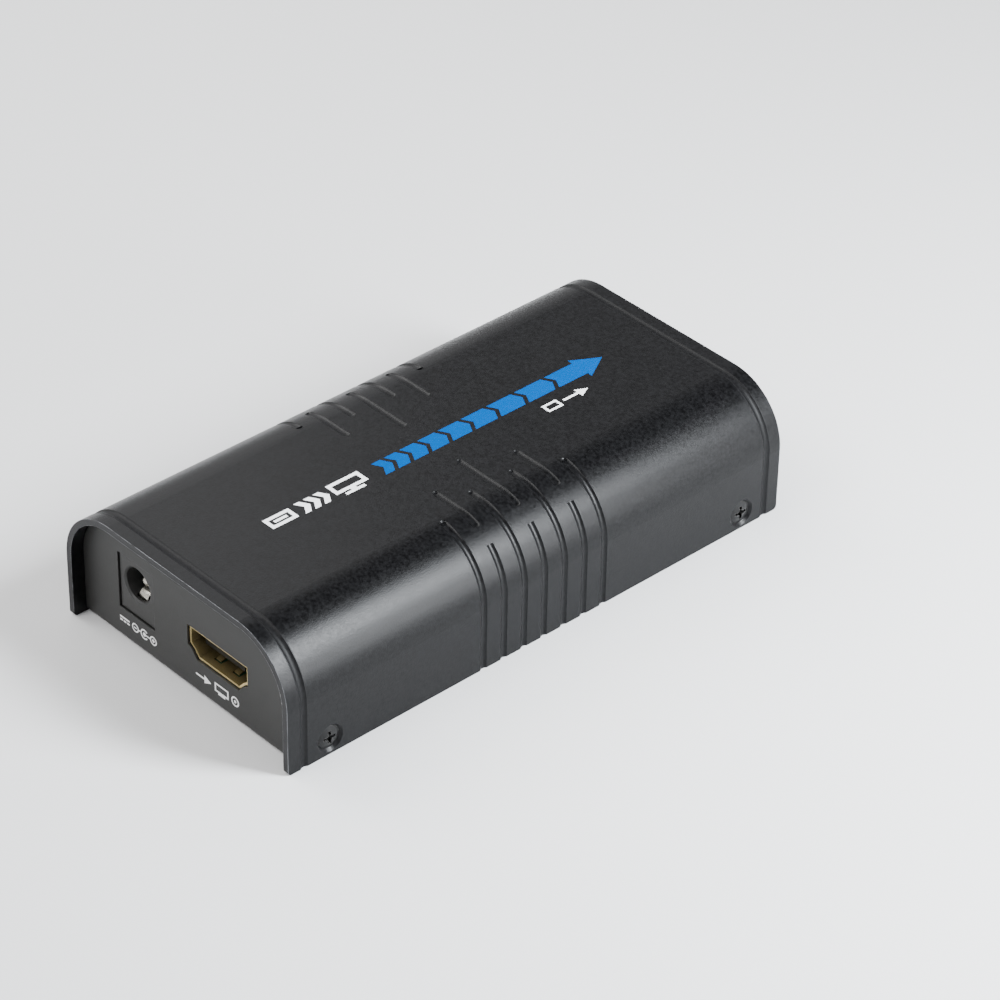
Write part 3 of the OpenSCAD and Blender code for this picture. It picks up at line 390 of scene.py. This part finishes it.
def make_painted_shade_group():
    """How open a place is, which sets the painted shade: 1 on open faces, towards 0 in gaps, corners and
    deep openings.
    """
    group, given, out = new_group(
        "painted_gap_shade", [("Reach", 1.2), ("Depth", 0.8)], [("Openness", "NodeSocketFloat")]
    )
    near = group.nodes.new("ShaderNodeAmbientOcclusion")
    near.samples = 8
    group.links.new(maths(group, "MULTIPLY", given["Reach"], MM), near.inputs["Distance"])
    deepest = maths(group, "SUBTRACT", 1.0, given["Depth"])
    group.links.new(spread(group, near.outputs["AO"], 0.25, 0.8, deepest, 1.0), out["Openness"])
    return group


GRAIN = make_grain_group()
WEAR_AND_HIGHLIGHT = make_wear_and_highlight_group()
DUST = make_dust_group()
PAINTED_SHADE = make_painted_shade_group()
END_ZONE = make_zone_group()


def use_group(tree, group, **values):
    """Places a group and sets its inputs: an underscore in a keyword is a space in the input's name."""
    node = tree.nodes.new("ShaderNodeGroup")
    node.node_tree = group
    for label, value in values.items():
        node.inputs[label.replace("_", " ")].default_value = value
    return node.outputs


def blend_colour(tree, share, a, b):
    """Mixes two colours by a share; each is an output or three numbers."""
    node = tree.nodes.new("ShaderNodeMix")
    node.data_type = "RGBA"
    tree.links.new(share, node.inputs["Factor"])
    for label, colour in (("A", a), ("B", b)):
        socket = [s for s in node.inputs if s.name == label and s.type == "RGBA"][0]
        feed(tree, (*colour, 1) if isinstance(colour, tuple) else colour, socket)
    return [s for s in node.outputs if s.type == "RGBA"][0]


def finish(
    name,
    dark,
    light,
    rough,
    metallic=0.0,
    grain=0.2,
    bump=0.1,
    cloud=9.0,
    clouding=0.25,
    swing=0.04,
    specular=0.5,
    coat=0.0,
    edge=0.1,
    wear_and_highlight=0.0,
    coverage=0.3,
    bare=(0.45, 0.45, 0.46),
    chips=0.0,
    only_beyond=0.0,
    dust=0.0,
    shade=0.0,
    reach=1.2,
    lit_end_tone=None,
    matt_groove=0.0,
):
    """A surface finish of two close tones, broken up by what the real surface shows.

    dark, light: its two tones, mixed by speckle of the grain's size and by clouds (clouding is their share)
    rough, swing: its roughness, and how far the speckle moves it
    edge, wear, coverage, bare: how far edges are rounded, and how much of them is rubbed to what colour,
    partly a painted highlight on the cover
    chips, only_beyond: pale chips at the edges, and where along the box wear begins
    dust: the spacing of dust specks
    shade, reach: how dark the painted shade makes gaps and openings, and how far from their walls it reaches
    sawn, matt_groove: the lighter tone painted on the end faces for the light that they catch, and the
    roughness added in the end grooves
    """
    material = bpy.data.materials.new(name)
    material.use_nodes = True
    tree = material.node_tree
    shader = tree.nodes["Principled BSDF"]
    shader.inputs["Specular IOR Level"].default_value = specular
    shader.inputs["Coat Weight"].default_value = coat
    shader.inputs["Coat Roughness"].default_value = 0.15
    shader.inputs["Metallic"].default_value = metallic

    texture = use_group(tree, GRAIN, Grain_Size=grain, Cloud_Size=cloud)
    fine_part = maths(tree, "MULTIPLY", texture["Speckle"], 1.0 - clouding)
    slow_part = maths(tree, "MULTIPLY", texture["Cloud"], clouding)
    colour = blend_colour(tree, maths(tree, "ADD", fine_part, slow_part), dark, light)
    roughness = spread(tree, texture["Speckle"], 0, 1, rough - swing, rough + swing)
    relief = tree.nodes.new("ShaderNodeBump")
    relief.inputs["Strength"].default_value = bump
    relief.inputs["Distance"].default_value = grain * MM * BUMP_DEPTH_SHARE
    tree.links.new(texture["Height"], relief.inputs["Height"])

    # Painted light: the end faces are painted a lighter tone, for the light that they catch.
    if lit_end_tone:
        lit_end_zone = use_group(tree, END_ZONE, Beyond=LIT_END_FROM)["Mask"]
        colour = blend_colour(tree, lit_end_zone, colour, lit_end_tone)
    if matt_groove:
        from_groove = use_group(tree, END_ZONE, Beyond=END_GROOVE_FROM)["Mask"]
        past_groove = use_group(tree, END_ZONE, Beyond=END_GROOVE_TO)["Mask"]
        in_groove = maths(tree, "SUBTRACT", from_groove, past_groove)
        roughness = maths(tree, "ADD", roughness, maths(tree, "MULTIPLY", in_groove, matt_groove))
    if edge:
        worn_and_highlit = use_group(
            tree,
            WEAR_AND_HIGHLIGHT,
            Edge_Radius=edge,
            Amount=wear_and_highlight,
            Coverage=coverage,
            Chips=chips,
            Only_Beyond=only_beyond,
        )
        tree.links.new(worn_and_highlit["Normal"], relief.inputs["Normal"])
        # Rubbed edges: real rubbing, and on the cover's rims also a painted highlight.
        if wear_and_highlight:
            colour = blend_colour(tree, worn_and_highlit["Mask"], colour, bare)
            metal = spread(tree, worn_and_highlit["Mask"], 0, 1, metallic, 1.0)
            tree.links.new(metal, shader.inputs["Metallic"])
        if chips:
            colour = blend_colour(tree, worn_and_highlit["Chip"], colour, CHIP_COLOUR)
    if dust:
        specks = use_group(tree, DUST, Spacing=dust, Speck_Size=DUST_SPECK_SIZE)["Mask"]
        colour = blend_colour(tree, specks, colour, DUST_COLOUR)
        roughness = spread(tree, specks, 0, 1, roughness, DUST_ROUGHNESS)
    # Painted shade: the base colour is darkened in gaps, corners and deep openings, where shade falls.
    if shade:
        openness = use_group(tree, PAINTED_SHADE, Depth=shade, Reach=reach)["Openness"]
        colour = blend_colour(tree, openness, tuple(c * PAINTED_SHADE_TONE for c in dark), colour)

    tree.links.new(colour, shader.inputs["Base Color"])
    tree.links.new(roughness, shader.inputs["Roughness"])
    tree.links.new(relief.outputs["Normal"], shader.inputs["Normal"])
    return material


# Finishes

BUMP_DEPTH_SHARE = 0.3
CHIP_COLOUR = (0.62, 0.62, 0.62)
DUST_COLOUR = (0.42, 0.41, 0.39)
DUST_SPECK_SIZE = 0.13
DUST_ROUGHNESS = 0.85
# The share of a finish's dark tone that is left in the deepest painted shade.
PAINTED_SHADE_TONE = 0.1

LOOKS = {
    # The cover: the rubbed line on its rims is partly a painted highlight, and its end faces are painted
    # lighter for the light that they catch.
    "blasted_black": dict(
        dark=(0.0005, 0.0005, 0.0007), light=(0.0046, 0.0047, 0.0052), rough=0.34, specular=0.15,
        grain=0.27, bump=0.33, cloud=22.0, clouding=0.10, dust=11.0,
        edge=0.15, wear_and_highlight=0.6, coverage=0.62, bare=(0.34, 0.35, 0.37), chips=1.0,
        only_beyond=WORN_AND_HIGHLIT_END_FROM, lit_end_tone=(0.016, 0.016, 0.017), matt_groove=0.16,
    ),
    "tray_grey": dict(
        dark=(0.017, 0.017, 0.0165), light=(0.025, 0.025, 0.024), rough=0.42, specular=0.28,
        grain=0.3, bump=0.16, cloud=14.0, dust=9.0, shade=0.85,
        edge=0.11, wear_and_highlight=0.35, coverage=0.35, bare=(0.42, 0.42, 0.41),
    ),
    "screw_black": dict(
        dark=(0.006, 0.006, 0.006), light=(0.012, 0.012, 0.012), rough=0.36, metallic=0.35, specular=0.22,
        grain=0.14, bump=0.20, cloud=3.0, shade=0.7,
        edge=0.08, wear_and_highlight=0.5, coverage=0.5, bare=(0.40, 0.39, 0.37),
    ),
    "steel": dict(
        dark=(0.42, 0.40, 0.35), light=(0.54, 0.52, 0.46), rough=0.28, metallic=1.0,
        grain=0.1, bump=0.08, cloud=4.0, edge=0.05,
    ),
    "board_green": dict(
        dark=(0.005, 0.050, 0.018), light=(0.009, 0.085, 0.030), rough=0.35, coat=0.3,
        grain=0.3, cloud=6.0, edge=0.05,
    ),
    "jack_black": dict(
        dark=(0.013, 0.013, 0.0125), light=(0.019, 0.019, 0.018), rough=0.45, specular=0.4,
        grain=0.22, bump=0.12, cloud=6.0, shade=0.8, edge=0.12,
    ),
    # Painted shade darkens the shell's gold far into the socket's opening; the contacts' gold below is a
    # lighter copy left out of that painted shade, a painted lit copy.
    "gold": dict(
        dark=(0.62, 0.48, 0.20), light=(0.76, 0.61, 0.31), rough=0.30, metallic=0.8, swing=0.02,
        grain=1.4, bump=0.02, cloud=3.0, shade=0.88, reach=10.0, edge=0.0,
    ),
    "contact_gold_lit": dict(
        dark=(0.74, 0.60, 0.24), light=(0.86, 0.72, 0.36), rough=0.26, metallic=0.8, swing=0.02,
        grain=1.4, bump=0.02, cloud=3.0, edge=0.0,
    ),
    "tin": dict(
        dark=(0.42, 0.37, 0.29), light=(0.55, 0.49, 0.40), rough=0.40, metallic=1.0,
        grain=0.2, bump=0.08, cloud=3.0, edge=0.06,
    ),
    "socket_black": dict(
        dark=(0.0022, 0.0022, 0.0022), light=(0.004, 0.004, 0.0038), rough=0.36, specular=0.22,
        grain=0.2, bump=0.08, cloud=5.0, shade=0.9, edge=0.06,
    ),
    "socket_olive": dict(
        dark=(0.004, 0.0037, 0.002), light=(0.007, 0.0065, 0.0035), rough=0.50, specular=0.12,
        grain=0.2, bump=0.08, cloud=4.0, shade=0.8, edge=0.06,
    ),
    "light_yellow": dict(
        dark=(0.31, 0.245, 0.001), light=(0.39, 0.31, 0.002), rough=0.42, specular=0.2,
        grain=0.3, bump=0.05, cloud=3.0, edge=0.06,
    ),
    "light_green": dict(
        dark=(0.020, 0.19, 0.012), light=(0.032, 0.25, 0.020), rough=0.42, specular=0.2,
        grain=0.3, bump=0.05, cloud=3.0, edge=0.06,
    ),
    "button_black": dict(
        dark=(0.005, 0.005, 0.005), light=(0.008, 0.008, 0.008), rough=0.40, specular=0.2,
        grain=0.3, bump=0.03, cloud=4.0, shade=0.5, edge=0.05,
    ),
    "chip_epoxy": dict(
        dark=(0.010, 0.010, 0.011), light=(0.020, 0.020, 0.021), rough=0.55,
        grain=0.2, bump=0.3, cloud=3.0, edge=0.08,
    ),
    "thermal_rubber": dict(
        dark=(0.16, 0.22, 0.32), light=(0.22, 0.29, 0.40), rough=0.8, grain=0.3, bump=0.3, cloud=4.0
    ),
    "bare_aluminium": dict(
        dark=(0.50, 0.51, 0.53), light=(0.64, 0.65, 0.67), rough=0.34, metallic=1.0,
        grain=0.15, bump=0.1, cloud=4.0, edge=0.08,
    ),
    "can_metal": dict(
        dark=(0.60, 0.60, 0.61), light=(0.72, 0.72, 0.73), rough=0.24, metallic=1.0,
        grain=0.15, bump=0.05, cloud=4.0, edge=0.08,
    ),
    "ferrite": dict(
        dark=(0.035, 0.035, 0.038), light=(0.055, 0.055, 0.060), rough=0.6,
        grain=0.2, bump=0.4, cloud=3.0, edge=0.08,
    ),
    "ceramic": dict(
        dark=(0.30, 0.19, 0.10), light=(0.42, 0.28, 0.16), rough=0.5, grain=0.2, cloud=3.0, edge=0.05
    ),
    "print_white": dict(
        dark=(0.70, 0.70, 0.70), light=(0.82, 0.82, 0.82), rough=0.55, specular=0.3,
        grain=0.25, bump=0.15, cloud=6.0, edge=0.0,
    ),
    "print_blue": dict(
        dark=(0.0, 0.049, 0.205), light=(0.0, 0.055, 0.230), rough=0.6, specular=0.0,
        grain=0.25, bump=0.10, cloud=6.0, edge=0.0,
    ),
}

FINISHES = {name: finish(name, **look) for name, look in LOOKS.items()}

# The finish of each CAD piece
NODE_FINISH = {
    "cover": "blasted_black",
    "tray": "tray_grey",
    "cover_screws": "screw_black",
    "board_standoffs": "steel",
    "circuit_board": "board_green",
    "board_screws": "steel",
    "power_jack_body": "jack_black",
    "power_jack_pin": "steel",
    "power_jack_spring": "steel",
    "video_socket_shell": "gold",
    "video_socket_insert": "socket_olive",
    "video_socket_contacts": "contact_gold_lit",
    "lan_jack_shield": "tin",
    "lan_jack_housing": "socket_black",
    "lan_jack_contacts": "contact_gold_lit",
    "lan_light_yellow": "light_yellow",
    "lan_light_green": "light_green",
    "switch_body": "chip_epoxy",
    "switch_frame": "steel",
    "switch_dome": "steel",
    "reset_button": "button_black",
    "main_processor": "chip_epoxy",
    "thermal_pad": "thermal_rubber",
    "heat_sink": "bare_aluminium",
    "video_receiver_chip": "chip_epoxy",
    "memory_chips": "chip_epoxy",
    "network_chip": "chip_epoxy",
    "network_transformer": "chip_epoxy",
    "flash_chip": "chip_epoxy",
    "quartz_crystals": "can_metal",
    "power_inductors": "ferrite",
    "electrolytic_capacitors": "can_metal",
    "voltage_regulators": "chip_epoxy",
    "protection_arrays": "chip_epoxy",
    "line_filters": "ferrite",
    "ceramic_capacitors": "ceramic",
    "chip_resistors": "chip_epoxy",
}


def dress_nodes():
    """Gives every CAD piece its finish."""
    for name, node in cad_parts.items():
        node.data.materials.clear()
        node.data.materials.append(FINISHES[NODE_FINISH[name]])


def add_object(name, mesh):
    """An object for a mesh, at the origin, in the scene."""
    piece = bpy.data.objects.new(name, mesh)
    bpy.context.scene.collection.objects.link(piece)
    return piece


# Cover

# A skin has no thickness: equal areas (within a share) face both ways on the same corners.
SPECK_AREA = 1e-4 * MM * MM
LEAST_SKIN_AREA = 0.05 * MM * MM
SKIN_AREA_RATIO = 1.1
SAME_CORNER_REACH = 0.002 * MM


def flat_place(face):
    """The plane that a face lies in, rounded, and which way it faces there: 1 or -1."""
    way = 1 if max(face.normal, key=abs) > 0 else -1
    turn = (round(c * way, 2) for c in face.normal)
    height = round(face.normal.dot(face.center) / MM * way, 2)
    return (*turn, height), way


def corner_places(mesh, faces):
    """The places of the faces' corners, rounded."""
    corners = (mesh.vertices[v].co for face in faces for v in face.vertices)
    return {tuple(round(c / MM, 2) for c in corner) for corner in corners}


def skins_across(mesh):
    """The numbers of the faces that make up skins without thickness."""
    planes = {}
    for face in mesh.polygons:
        if face.area < SPECK_AREA:
            continue
        place, way = flat_place(face)
        planes.setdefault(place, {1: [], -1: []})[way].append(face)
    found = set()
    for sides in planes.values():
        small, large = sorted(sum(face.area for face in side) for side in sides.values())
        if small <= LEAST_SKIN_AREA or large >= SKIN_AREA_RATIO * small:
            continue
        if corner_places(mesh, sides[1]) == corner_places(mesh, sides[-1]):
            found.update(face.index for side in sides.values() for face in side)
    return found


def first_at_same_place(points):
    """For each point the number of the first point that lies at the same place."""
    tree = KDTree(len(points))
    for i, point in enumerate(points):
        tree.insert(point, i)
    tree.balance()
    first = [-1] * len(points)
    for i, point in enumerate(points):
        if first[i] >= 0:
            continue
        for _, j, _ in tree.find_range(point, SAME_CORNER_REACH):
            if first[j] < 0:
                first[j] = i
    return first


def make_cover_shell():
    """The cover joined into one closed skin, with its grooves running through from end to end."""
    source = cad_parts["cover"]
    mesh = source.data
    skins = skins_across(mesh)
    points = [source.matrix_world @ v.co for v in mesh.vertices]
    first = first_at_same_place(points)
    kept = sorted(set(first))
    number = {old: new for new, old in enumerate(kept)}
    faces, normals = [], []
    for face in mesh.polygons:
        corners = [number[first[v]] for v in face.vertices]
        if face.index in skins or len(set(corners)) < len(corners):
            continue
        faces.append(corners)
        normals.extend(Vector(mesh.corner_normals[i].vector) for i in face.loop_indices)
    joined = bpy.data.meshes.new("cover_shell")
    joined.from_pydata([points[i] for i in kept], [], faces)
    joined.normals_split_custom_set(normals)
    joined.materials.append(FINISHES["blasted_black"])
    shell = add_object("cover_shell", joined)
    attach(shell, "case")
    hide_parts("cover")


# Printed marks

PRINT_LIFT = 0.008
ROUND_STEPS = 24


def on_circle(x, y, radius, degrees):
    """A point on a circle, at an angle from the reading direction."""
    angle = math.radians(degrees)
    return (x + radius * math.cos(angle), y + radius * math.sin(angle))


class Sheet:
    """A flat print on one face of the box: outlines in millimetres, reading along u with v upwards."""

    def __init__(self, name, origin, u, v, material):
        self.name = name
        self.u = Vector(u)
        self.v = Vector(v)
        self.origin = Vector(origin) + self.u.cross(self.v) * PRINT_LIFT
        self.material = material
        self.outlines = []

    def add(self, points):
        """A filled outline."""
        self.outlines.append(points)

    def bar(self, x0, y0, x1, y1):
        """A filled rectangle between two corners."""
        self.add([(x0, y0), (x1, y0), (x1, y1), (x0, y1)])

    def level_bar(self, x0, x1, y, width):
        """A level stroke centred on a height."""
        self.bar(x0, y - width / 2, x1, y + width / 2)

    def line(self, x0, y0, x1, y1, width):
        """A straight stroke with square ends."""
        d = Vector((x1 - x0, y1 - y0)).normalized() * (width / 2)
        n = Vector((-d.y, d.x))
        self.add([(x0 - n.x, y0 - n.y), (x1 - n.x, y1 - n.y), (x1 + n.x, y1 + n.y), (x0 + n.x, y0 + n.y)])

    def arrowhead(self, x, y, length, half):
        """A triangle that points along the reading direction from the middle of its base."""
        self.add([(x, y - half), (x + length, y), (x, y + half)])

    def frame_box(self, x0, y0, x1, y1, width):
        """A rectangle's outline as four strokes that meet without overlapping."""
        self.bar(x0, y0, x1, y0 + width)
        self.bar(x0, y1 - width, x1, y1)
        self.bar(x0, y0 + width, x0 + width, y1 - width)
        self.bar(x1 - width, y0 + width, x1, y1 - width)

    def ring(self, x, y, radius, width, start=0, end=360):
        """A ring or a part of one, in degrees from the reading direction."""
        outer, inner = radius + width / 2, radius - width / 2
        for i in range(ROUND_STEPS):
            a = start + (end - start) * i / ROUND_STEPS
            b = start + (end - start) * (i + 1) / ROUND_STEPS
            places = ((inner, a), (outer, a), (outer, b), (inner, b))
            self.add([on_circle(x, y, r, degrees) for r, degrees in places])

    def disc(self, x, y, radius):
        """A filled circle."""
        self.add([on_circle(x, y, radius, 360 * i / ROUND_STEPS) for i in range(ROUND_STEPS)])

    def build(self):
        """Makes the print one mesh that rides on the case, its faces outwards."""
        points, faces = [], []
        for outline in self.outlines:
            base = len(points)
            points.extend((self.origin + self.u * x + self.v * y) * MM for x, y in outline)
            flat = [Vector((x, y, 0)) for x, y in outline]
            for triangle in tessellate_polygon([flat]):
                a, b, c = (flat[i] for i in triangle)
                outwards = (b - a).cross(c - a).z > 0
                faces.append([base + i for i in (triangle if outwards else triangle[::-1])])
        mesh = bpy.data.meshes.new(self.name)
        mesh.from_pydata(points, [], faces)
        mesh.materials.append(self.material)
        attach(add_object(self.name, mesh), "case")


def top_sheet(name, material):
    """A print on the cover's top that reads towards the rear."""
    return Sheet(name, (0, 0, TOP_Z), (0, 1, 0), (-1, 0, 0), material)


def print_white_pictogram():
    """On the top, in white: a player, three chevrons and a screen."""
    sheet = top_sheet("top_pictogram", FINISHES["print_white"])
    start, stroke = -36.2, 0.75
    player_length, player_half = 5.6, 1.5
    sheet.frame_box(start, -player_half, start + player_length, player_half, stroke)
    sheet.level_bar(start + 1.4, start + 4.2, 0, 0.64)

    chevrons, pitch, half, thickness, lean = start + 6.9, 2.1, 1.7, 1.25, 1.05
    for i in range(3):
        x = chevrons + i * pitch
        tip = (x + thickness + lean, 0)
        notch = (x + lean, 0)
        sheet.add([(x, half), (x + thickness, half), tip, notch])
        sheet.add([(x, -half), notch, tip, (x + thickness, -half)])

    screen, foot_top, stem_top = start + 14.2, -1.5, -1.05
    sheet.frame_box(screen, stem_top, screen + 7.0, 2.1, stroke)
    sheet.bar(screen + 2.9, foot_top, screen + 4.1, stem_top)
    sheet.bar(screen + 1.4, foot_top - 0.65, screen + 5.6, foot_top)
    sheet.build()


# The blue band: chevrons that grow towards a plain arrowhead.
BAND_CHEVRONS = 8
BAND_START = -11.9
BAND_HALF_WIDTH = 2.0
BAND_LEAN = 1.1
BAND_GAP = 0.9
FIRST_CHEVRON = 2.0
CHEVRON_GROWTH = 0.6
ARROW_NECK, ARROW_TIP, ARROW_HALF_WIDTH = 34.9, 40.3, 3.1


def make_chevron_row():
    """Geometry nodes that lay a row of chevrons, each longer than the last, in metres along y."""
    tree = bpy.data.node_groups.new("chevron_row", "GeometryNodeTree")
    tree.is_modifier = True
    sockets = {"Count": "NodeSocketInt", "Ink": "NodeSocketMaterial"}
    for label in ("Count", "Start", "First Length", "Growth", "Gap", "Lean", "Width", "Height", "Ink"):
        kind = sockets.get(label, "NodeSocketFloat")
        tree.interface.new_socket(label, in_out="INPUT", socket_type=kind)
    tree.interface.new_socket("Geometry", in_out="OUTPUT", socket_type="NodeSocketGeometry")
    given = tree.nodes.new("NodeGroupInput").outputs
    end = tree.nodes.new("NodeGroupOutput")
    link = tree.links.new

    # One point for each chevron remembers where it begins and how long it is.
    row = tree.nodes.new("GeometryNodeMeshLine")
    link(given["Count"], row.inputs["Count"])
    row.inputs["Offset"].default_value = (0, 0, 0)
    index = tree.nodes.new("GeometryNodeInputIndex").outputs[0]
    pitch = maths(tree, "ADD", given["First Length"], given["Gap"])
    steps = maths(tree, "MULTIPLY", index, pitch)
    pairs = maths(tree, "MULTIPLY", index, maths(tree, "SUBTRACT", index, 1.0))
    grown = maths(tree, "MULTIPLY", maths(tree, "MULTIPLY", pairs, 0.5), given["Growth"])
    begin = maths(tree, "ADD", given["Start"], maths(tree, "ADD", steps, grown))
    extra = maths(tree, "MULTIPLY", index, given["Growth"])
    length = maths(tree, "ADD", given["First Length"], extra)
    points = row.outputs[0]
    for label, value in (("begin", begin), ("length", length)):
        store = tree.nodes.new("GeometryNodeStoreNamedAttribute")
        store.inputs["Name"].default_value = label
        link(points, store.inputs["Geometry"])
        link(value, store.inputs["Value"])
        points = store.outputs[0]

    # A block of two by three corners is placed on each point and made real.
    block = tree.nodes.new("GeometryNodeMeshGrid")
    block.inputs["Vertices X"].default_value = 2
    block.inputs["Vertices Y"].default_value = 3
    placed = tree.nodes.new("GeometryNodeInstanceOnPoints")
    link(points, placed.inputs["Points"])
    link(block.outputs[0], placed.inputs["Instance"])
    real = tree.nodes.new("GeometryNodeRealizeInstances")
    link(placed.outputs[0], real.inputs[0])

    # Its corners are moved out to the chevron's length and width, the middle ones forward by the lean.
    corner = tree.nodes.new("ShaderNodeSeparateXYZ")
    link(tree.nodes.new("GeometryNodeInputPosition").outputs[0], corner.inputs[0])
    stored = {}
    for label in ("begin", "length"):
        read = tree.nodes.new("GeometryNodeInputNamedAttribute")
        read.inputs["Name"].default_value = label
        stored[label] = read.outputs["Attribute"]
    along = maths(tree, "MULTIPLY", maths(tree, "ADD", corner.outputs[0], 0.5), stored["length"])
    sideways = maths(tree, "MULTIPLY", maths(tree, "ABSOLUTE", corner.outputs[1]), 2.0)
    lean = maths(tree, "MULTIPLY", maths(tree, "SUBTRACT", 1.0, sideways), given["Lean"])
    forward = maths(tree, "ADD", maths(tree, "ADD", stored["begin"], along), lean)
    across = maths(tree, "MULTIPLY", corner.outputs[1], maths(tree, "MULTIPLY", given["Width"], -1.0))
    place = tree.nodes.new("ShaderNodeCombineXYZ")
    link(across, place.inputs[0])
    link(forward, place.inputs[1])
    link(given["Height"], place.inputs[2])
    shaped = tree.nodes.new("GeometryNodeSetPosition")
    link(real.outputs[0], shaped.inputs["Geometry"])
    link(place.outputs[0], shaped.inputs["Position"])
    inked = tree.nodes.new("GeometryNodeSetMaterial")
    link(shaped.outputs[0], inked.inputs["Geometry"])
    link(given["Ink"], inked.inputs["Material"])
    link(inked.outputs[0], end.inputs[0])
    return tree


def lay_chevrons():
    """Runs the chevron row once and keeps the result as a plain mesh on the cover's top."""
    tree = make_chevron_row()
    values = {
        "Count": BAND_CHEVRONS,
        "Start": BAND_START * MM,
        "First Length": FIRST_CHEVRON * MM,
        "Growth": CHEVRON_GROWTH * MM,
        "Gap": BAND_GAP * MM,
        "Lean": BAND_LEAN * MM,
        "Width": 2 * BAND_HALF_WIDTH * MM,
        "Height": (TOP_Z + PRINT_LIFT) * MM,
        "Ink": FINISHES["print_blue"],
    }
    maker = add_object("chevron_maker", bpy.data.meshes.new("chevron_maker"))
    run = maker.modifiers.new("row", "NODES")
    run.node_group = tree
    for item in tree.interface.items_tree:
        if item.item_type == "SOCKET" and item.in_out == "INPUT":
            run[item.identifier] = values[item.name]
    graph = bpy.context.evaluated_depsgraph_get()
    mesh = bpy.data.meshes.new_from_object(maker.evaluated_get(graph), depsgraph=graph)
    mesh.name = "top_band"
    for label in ("begin", "length"):
        if label in mesh.attributes:
            mesh.attributes.remove(mesh.attributes[label])
    maker.modifiers.clear()
    bpy.data.objects.remove(maker)
    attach(add_object("top_band", mesh), "case")


def print_blue_band():
    """The row of chevrons, and after it the block with the arrowhead."""
    lay_chevrons()
    pairs = BAND_CHEVRONS * (BAND_CHEVRONS - 1) / 2
    after_row = BAND_START + BAND_CHEVRONS * (FIRST_CHEVRON + BAND_GAP) + CHEVRON_GROWTH * pairs
    half = BAND_HALF_WIDTH
    notch = (after_row + BAND_LEAN, 0)
    sheet = top_sheet("top_arrow", FINISHES["print_blue"])
    sheet.add([(after_row, -half), (ARROW_NECK, -half), (ARROW_NECK, half), (after_row, half), notch])
    sheet.arrowhead(ARROW_NECK, 0, ARROW_TIP - ARROW_NECK, ARROW_HALF_WIDTH)
    sheet.build()


def print_white_mark():
    """A small box with an arrow that leaves it, beside the arrowhead."""
    sheet = top_sheet("top_mark", FINISHES["print_white"])
    x, y, box_length, box_half = 21.6, -5.4, 3.4, 1.1
    shaft_start, shaft_end = x + 4.3, x + 7.8
    sheet.frame_box(x, y - box_half, x + box_length, y + box_half, 0.5)
    sheet.level_bar(shaft_start, shaft_end, y, 0.56)
    sheet.arrowhead(shaft_end, y, 2.4, 1.15)
    sheet.build()


def add_current_signs(sheet, x, z):
    """The direct current sign, then a minus, the jack's two contacts and a plus, all on one line."""
    sign, sign_stroke, thin = 0.78, 0.26, 0.26
    sheet.bar(x, z + 0.15, x + 2.6, z + 0.5)
    for i in range(3):
        dash = x + i * 0.95
        sheet.bar(dash, z - 0.5, dash + 0.7, z - 0.15)
    minus, contacts, plus = x + 4.15, x + 6.6, x + 9.0
    half_sign = 0.35
    sheet.ring(minus, z, sign, sign_stroke)
    sheet.level_bar(minus - half_sign, minus + half_sign, z, thin)
    sheet.level_bar(x + 5.06, x + 5.7, z, thin)
    sheet.ring(contacts, z, 0.9, 0.28, 40, 320)
    sheet.disc(contacts, z, 0.4)
    sheet.level_bar(contacts + 0.4, x + 8.1, z, thin)
    sheet.ring(plus, z, sign, sign_stroke)
    sheet.level_bar(plus - half_sign, plus + half_sign, z, thin)
    sheet.bar(plus - 0.13, z + 0.13, plus + 0.13, z + 0.38)
    sheet.bar(plus - 0.13, z - 0.38, plus + 0.13, z - 0.13)


def add_picture_signs(sheet, x, z):
    """An arrow, a screen on its foot and a disc, all on one line."""
    sheet.level_bar(x, x + 2.2, z, 0.36)
    sheet.arrowhead(x + 2.2, z, 1.8, 0.85)
    screen_start, screen_end, screen_foot = x + 4.9, x + 8.5, z - 0.75
    sheet.frame_box(screen_start, screen_foot, screen_end, z + 1.05, 0.34)
    sheet.bar(screen_start + 0.9, screen_foot - 0.4, screen_end - 0.9, screen_foot)
    sheet.disc(x + 10.2, z, 0.3)
    sheet.ring(x + 10.2, z, 0.85, 0.3)


def print_front_marks():
    """On the front panel: the current's signs under the power jack, the picture's under the video socket."""
    sheet = Sheet("front_marks", (0, PANEL_FRONT_Y, 0), (1, 0, 0), (0, 0, 1), FINISHES["print_white"])
    add_current_signs(sheet, -18.2, 4.2)
    add_picture_signs(sheet, 2.2, 4.2)
    sheet.build()


def add_network_sign(sheet, x, z):
    """Two angle brackets with four dots between them."""
    inner, outer, half, stroke = 3.3, 4.3, 1.05, 0.36
    for side in (-1, 1):
        sheet.line(x + side * inner, z + half, x + side * outer, z, stroke)
        sheet.line(x + side * outer, z, x + side * inner, z - half, stroke)
    dots, dot_pitch = 4, 1.4
    for i in range(dots):
        sheet.disc(x + (i - (dots - 1) / 2) * dot_pitch, z, 0.42)


def add_restart_sign(sheet, x, z):
    """A turning arrow between two dashes."""
    sheet.ring(x, z, 0.95, 0.34, 60, 360)
    sheet.add([(x + 0.35, z + 0.1), (x + 1.6, z + 0.1), (x + 0.98, z + 1.0)])
    dash_near, dash_far, dash_width = 2.2, 4.4, 0.4
    sheet.level_bar(x - dash_far, x - dash_near, z, dash_width)
    sheet.level_bar(x + dash_near, x + dash_far, z, dash_width)


def print_rear_marks():
    """On the rear panel: the network sign under its jack and the restart sign under the button."""
    sheet = Sheet("rear_marks", (0, PANEL_REAR_Y, 0), (-1, 0, 0), (0, 0, 1), FINISHES["print_white"])
    add_network_sign(sheet, -0.5, 4.5)
    add_restart_sign(sheet, 14.5, 4.7)
    sheet.build()


make_camera()
make_world()
make_lights()
make_floor()
dress_nodes()
make_cover_shell()
print_white_pictogram()
print_blue_band()
print_white_mark()
print_front_marks()
print_rear_marks()
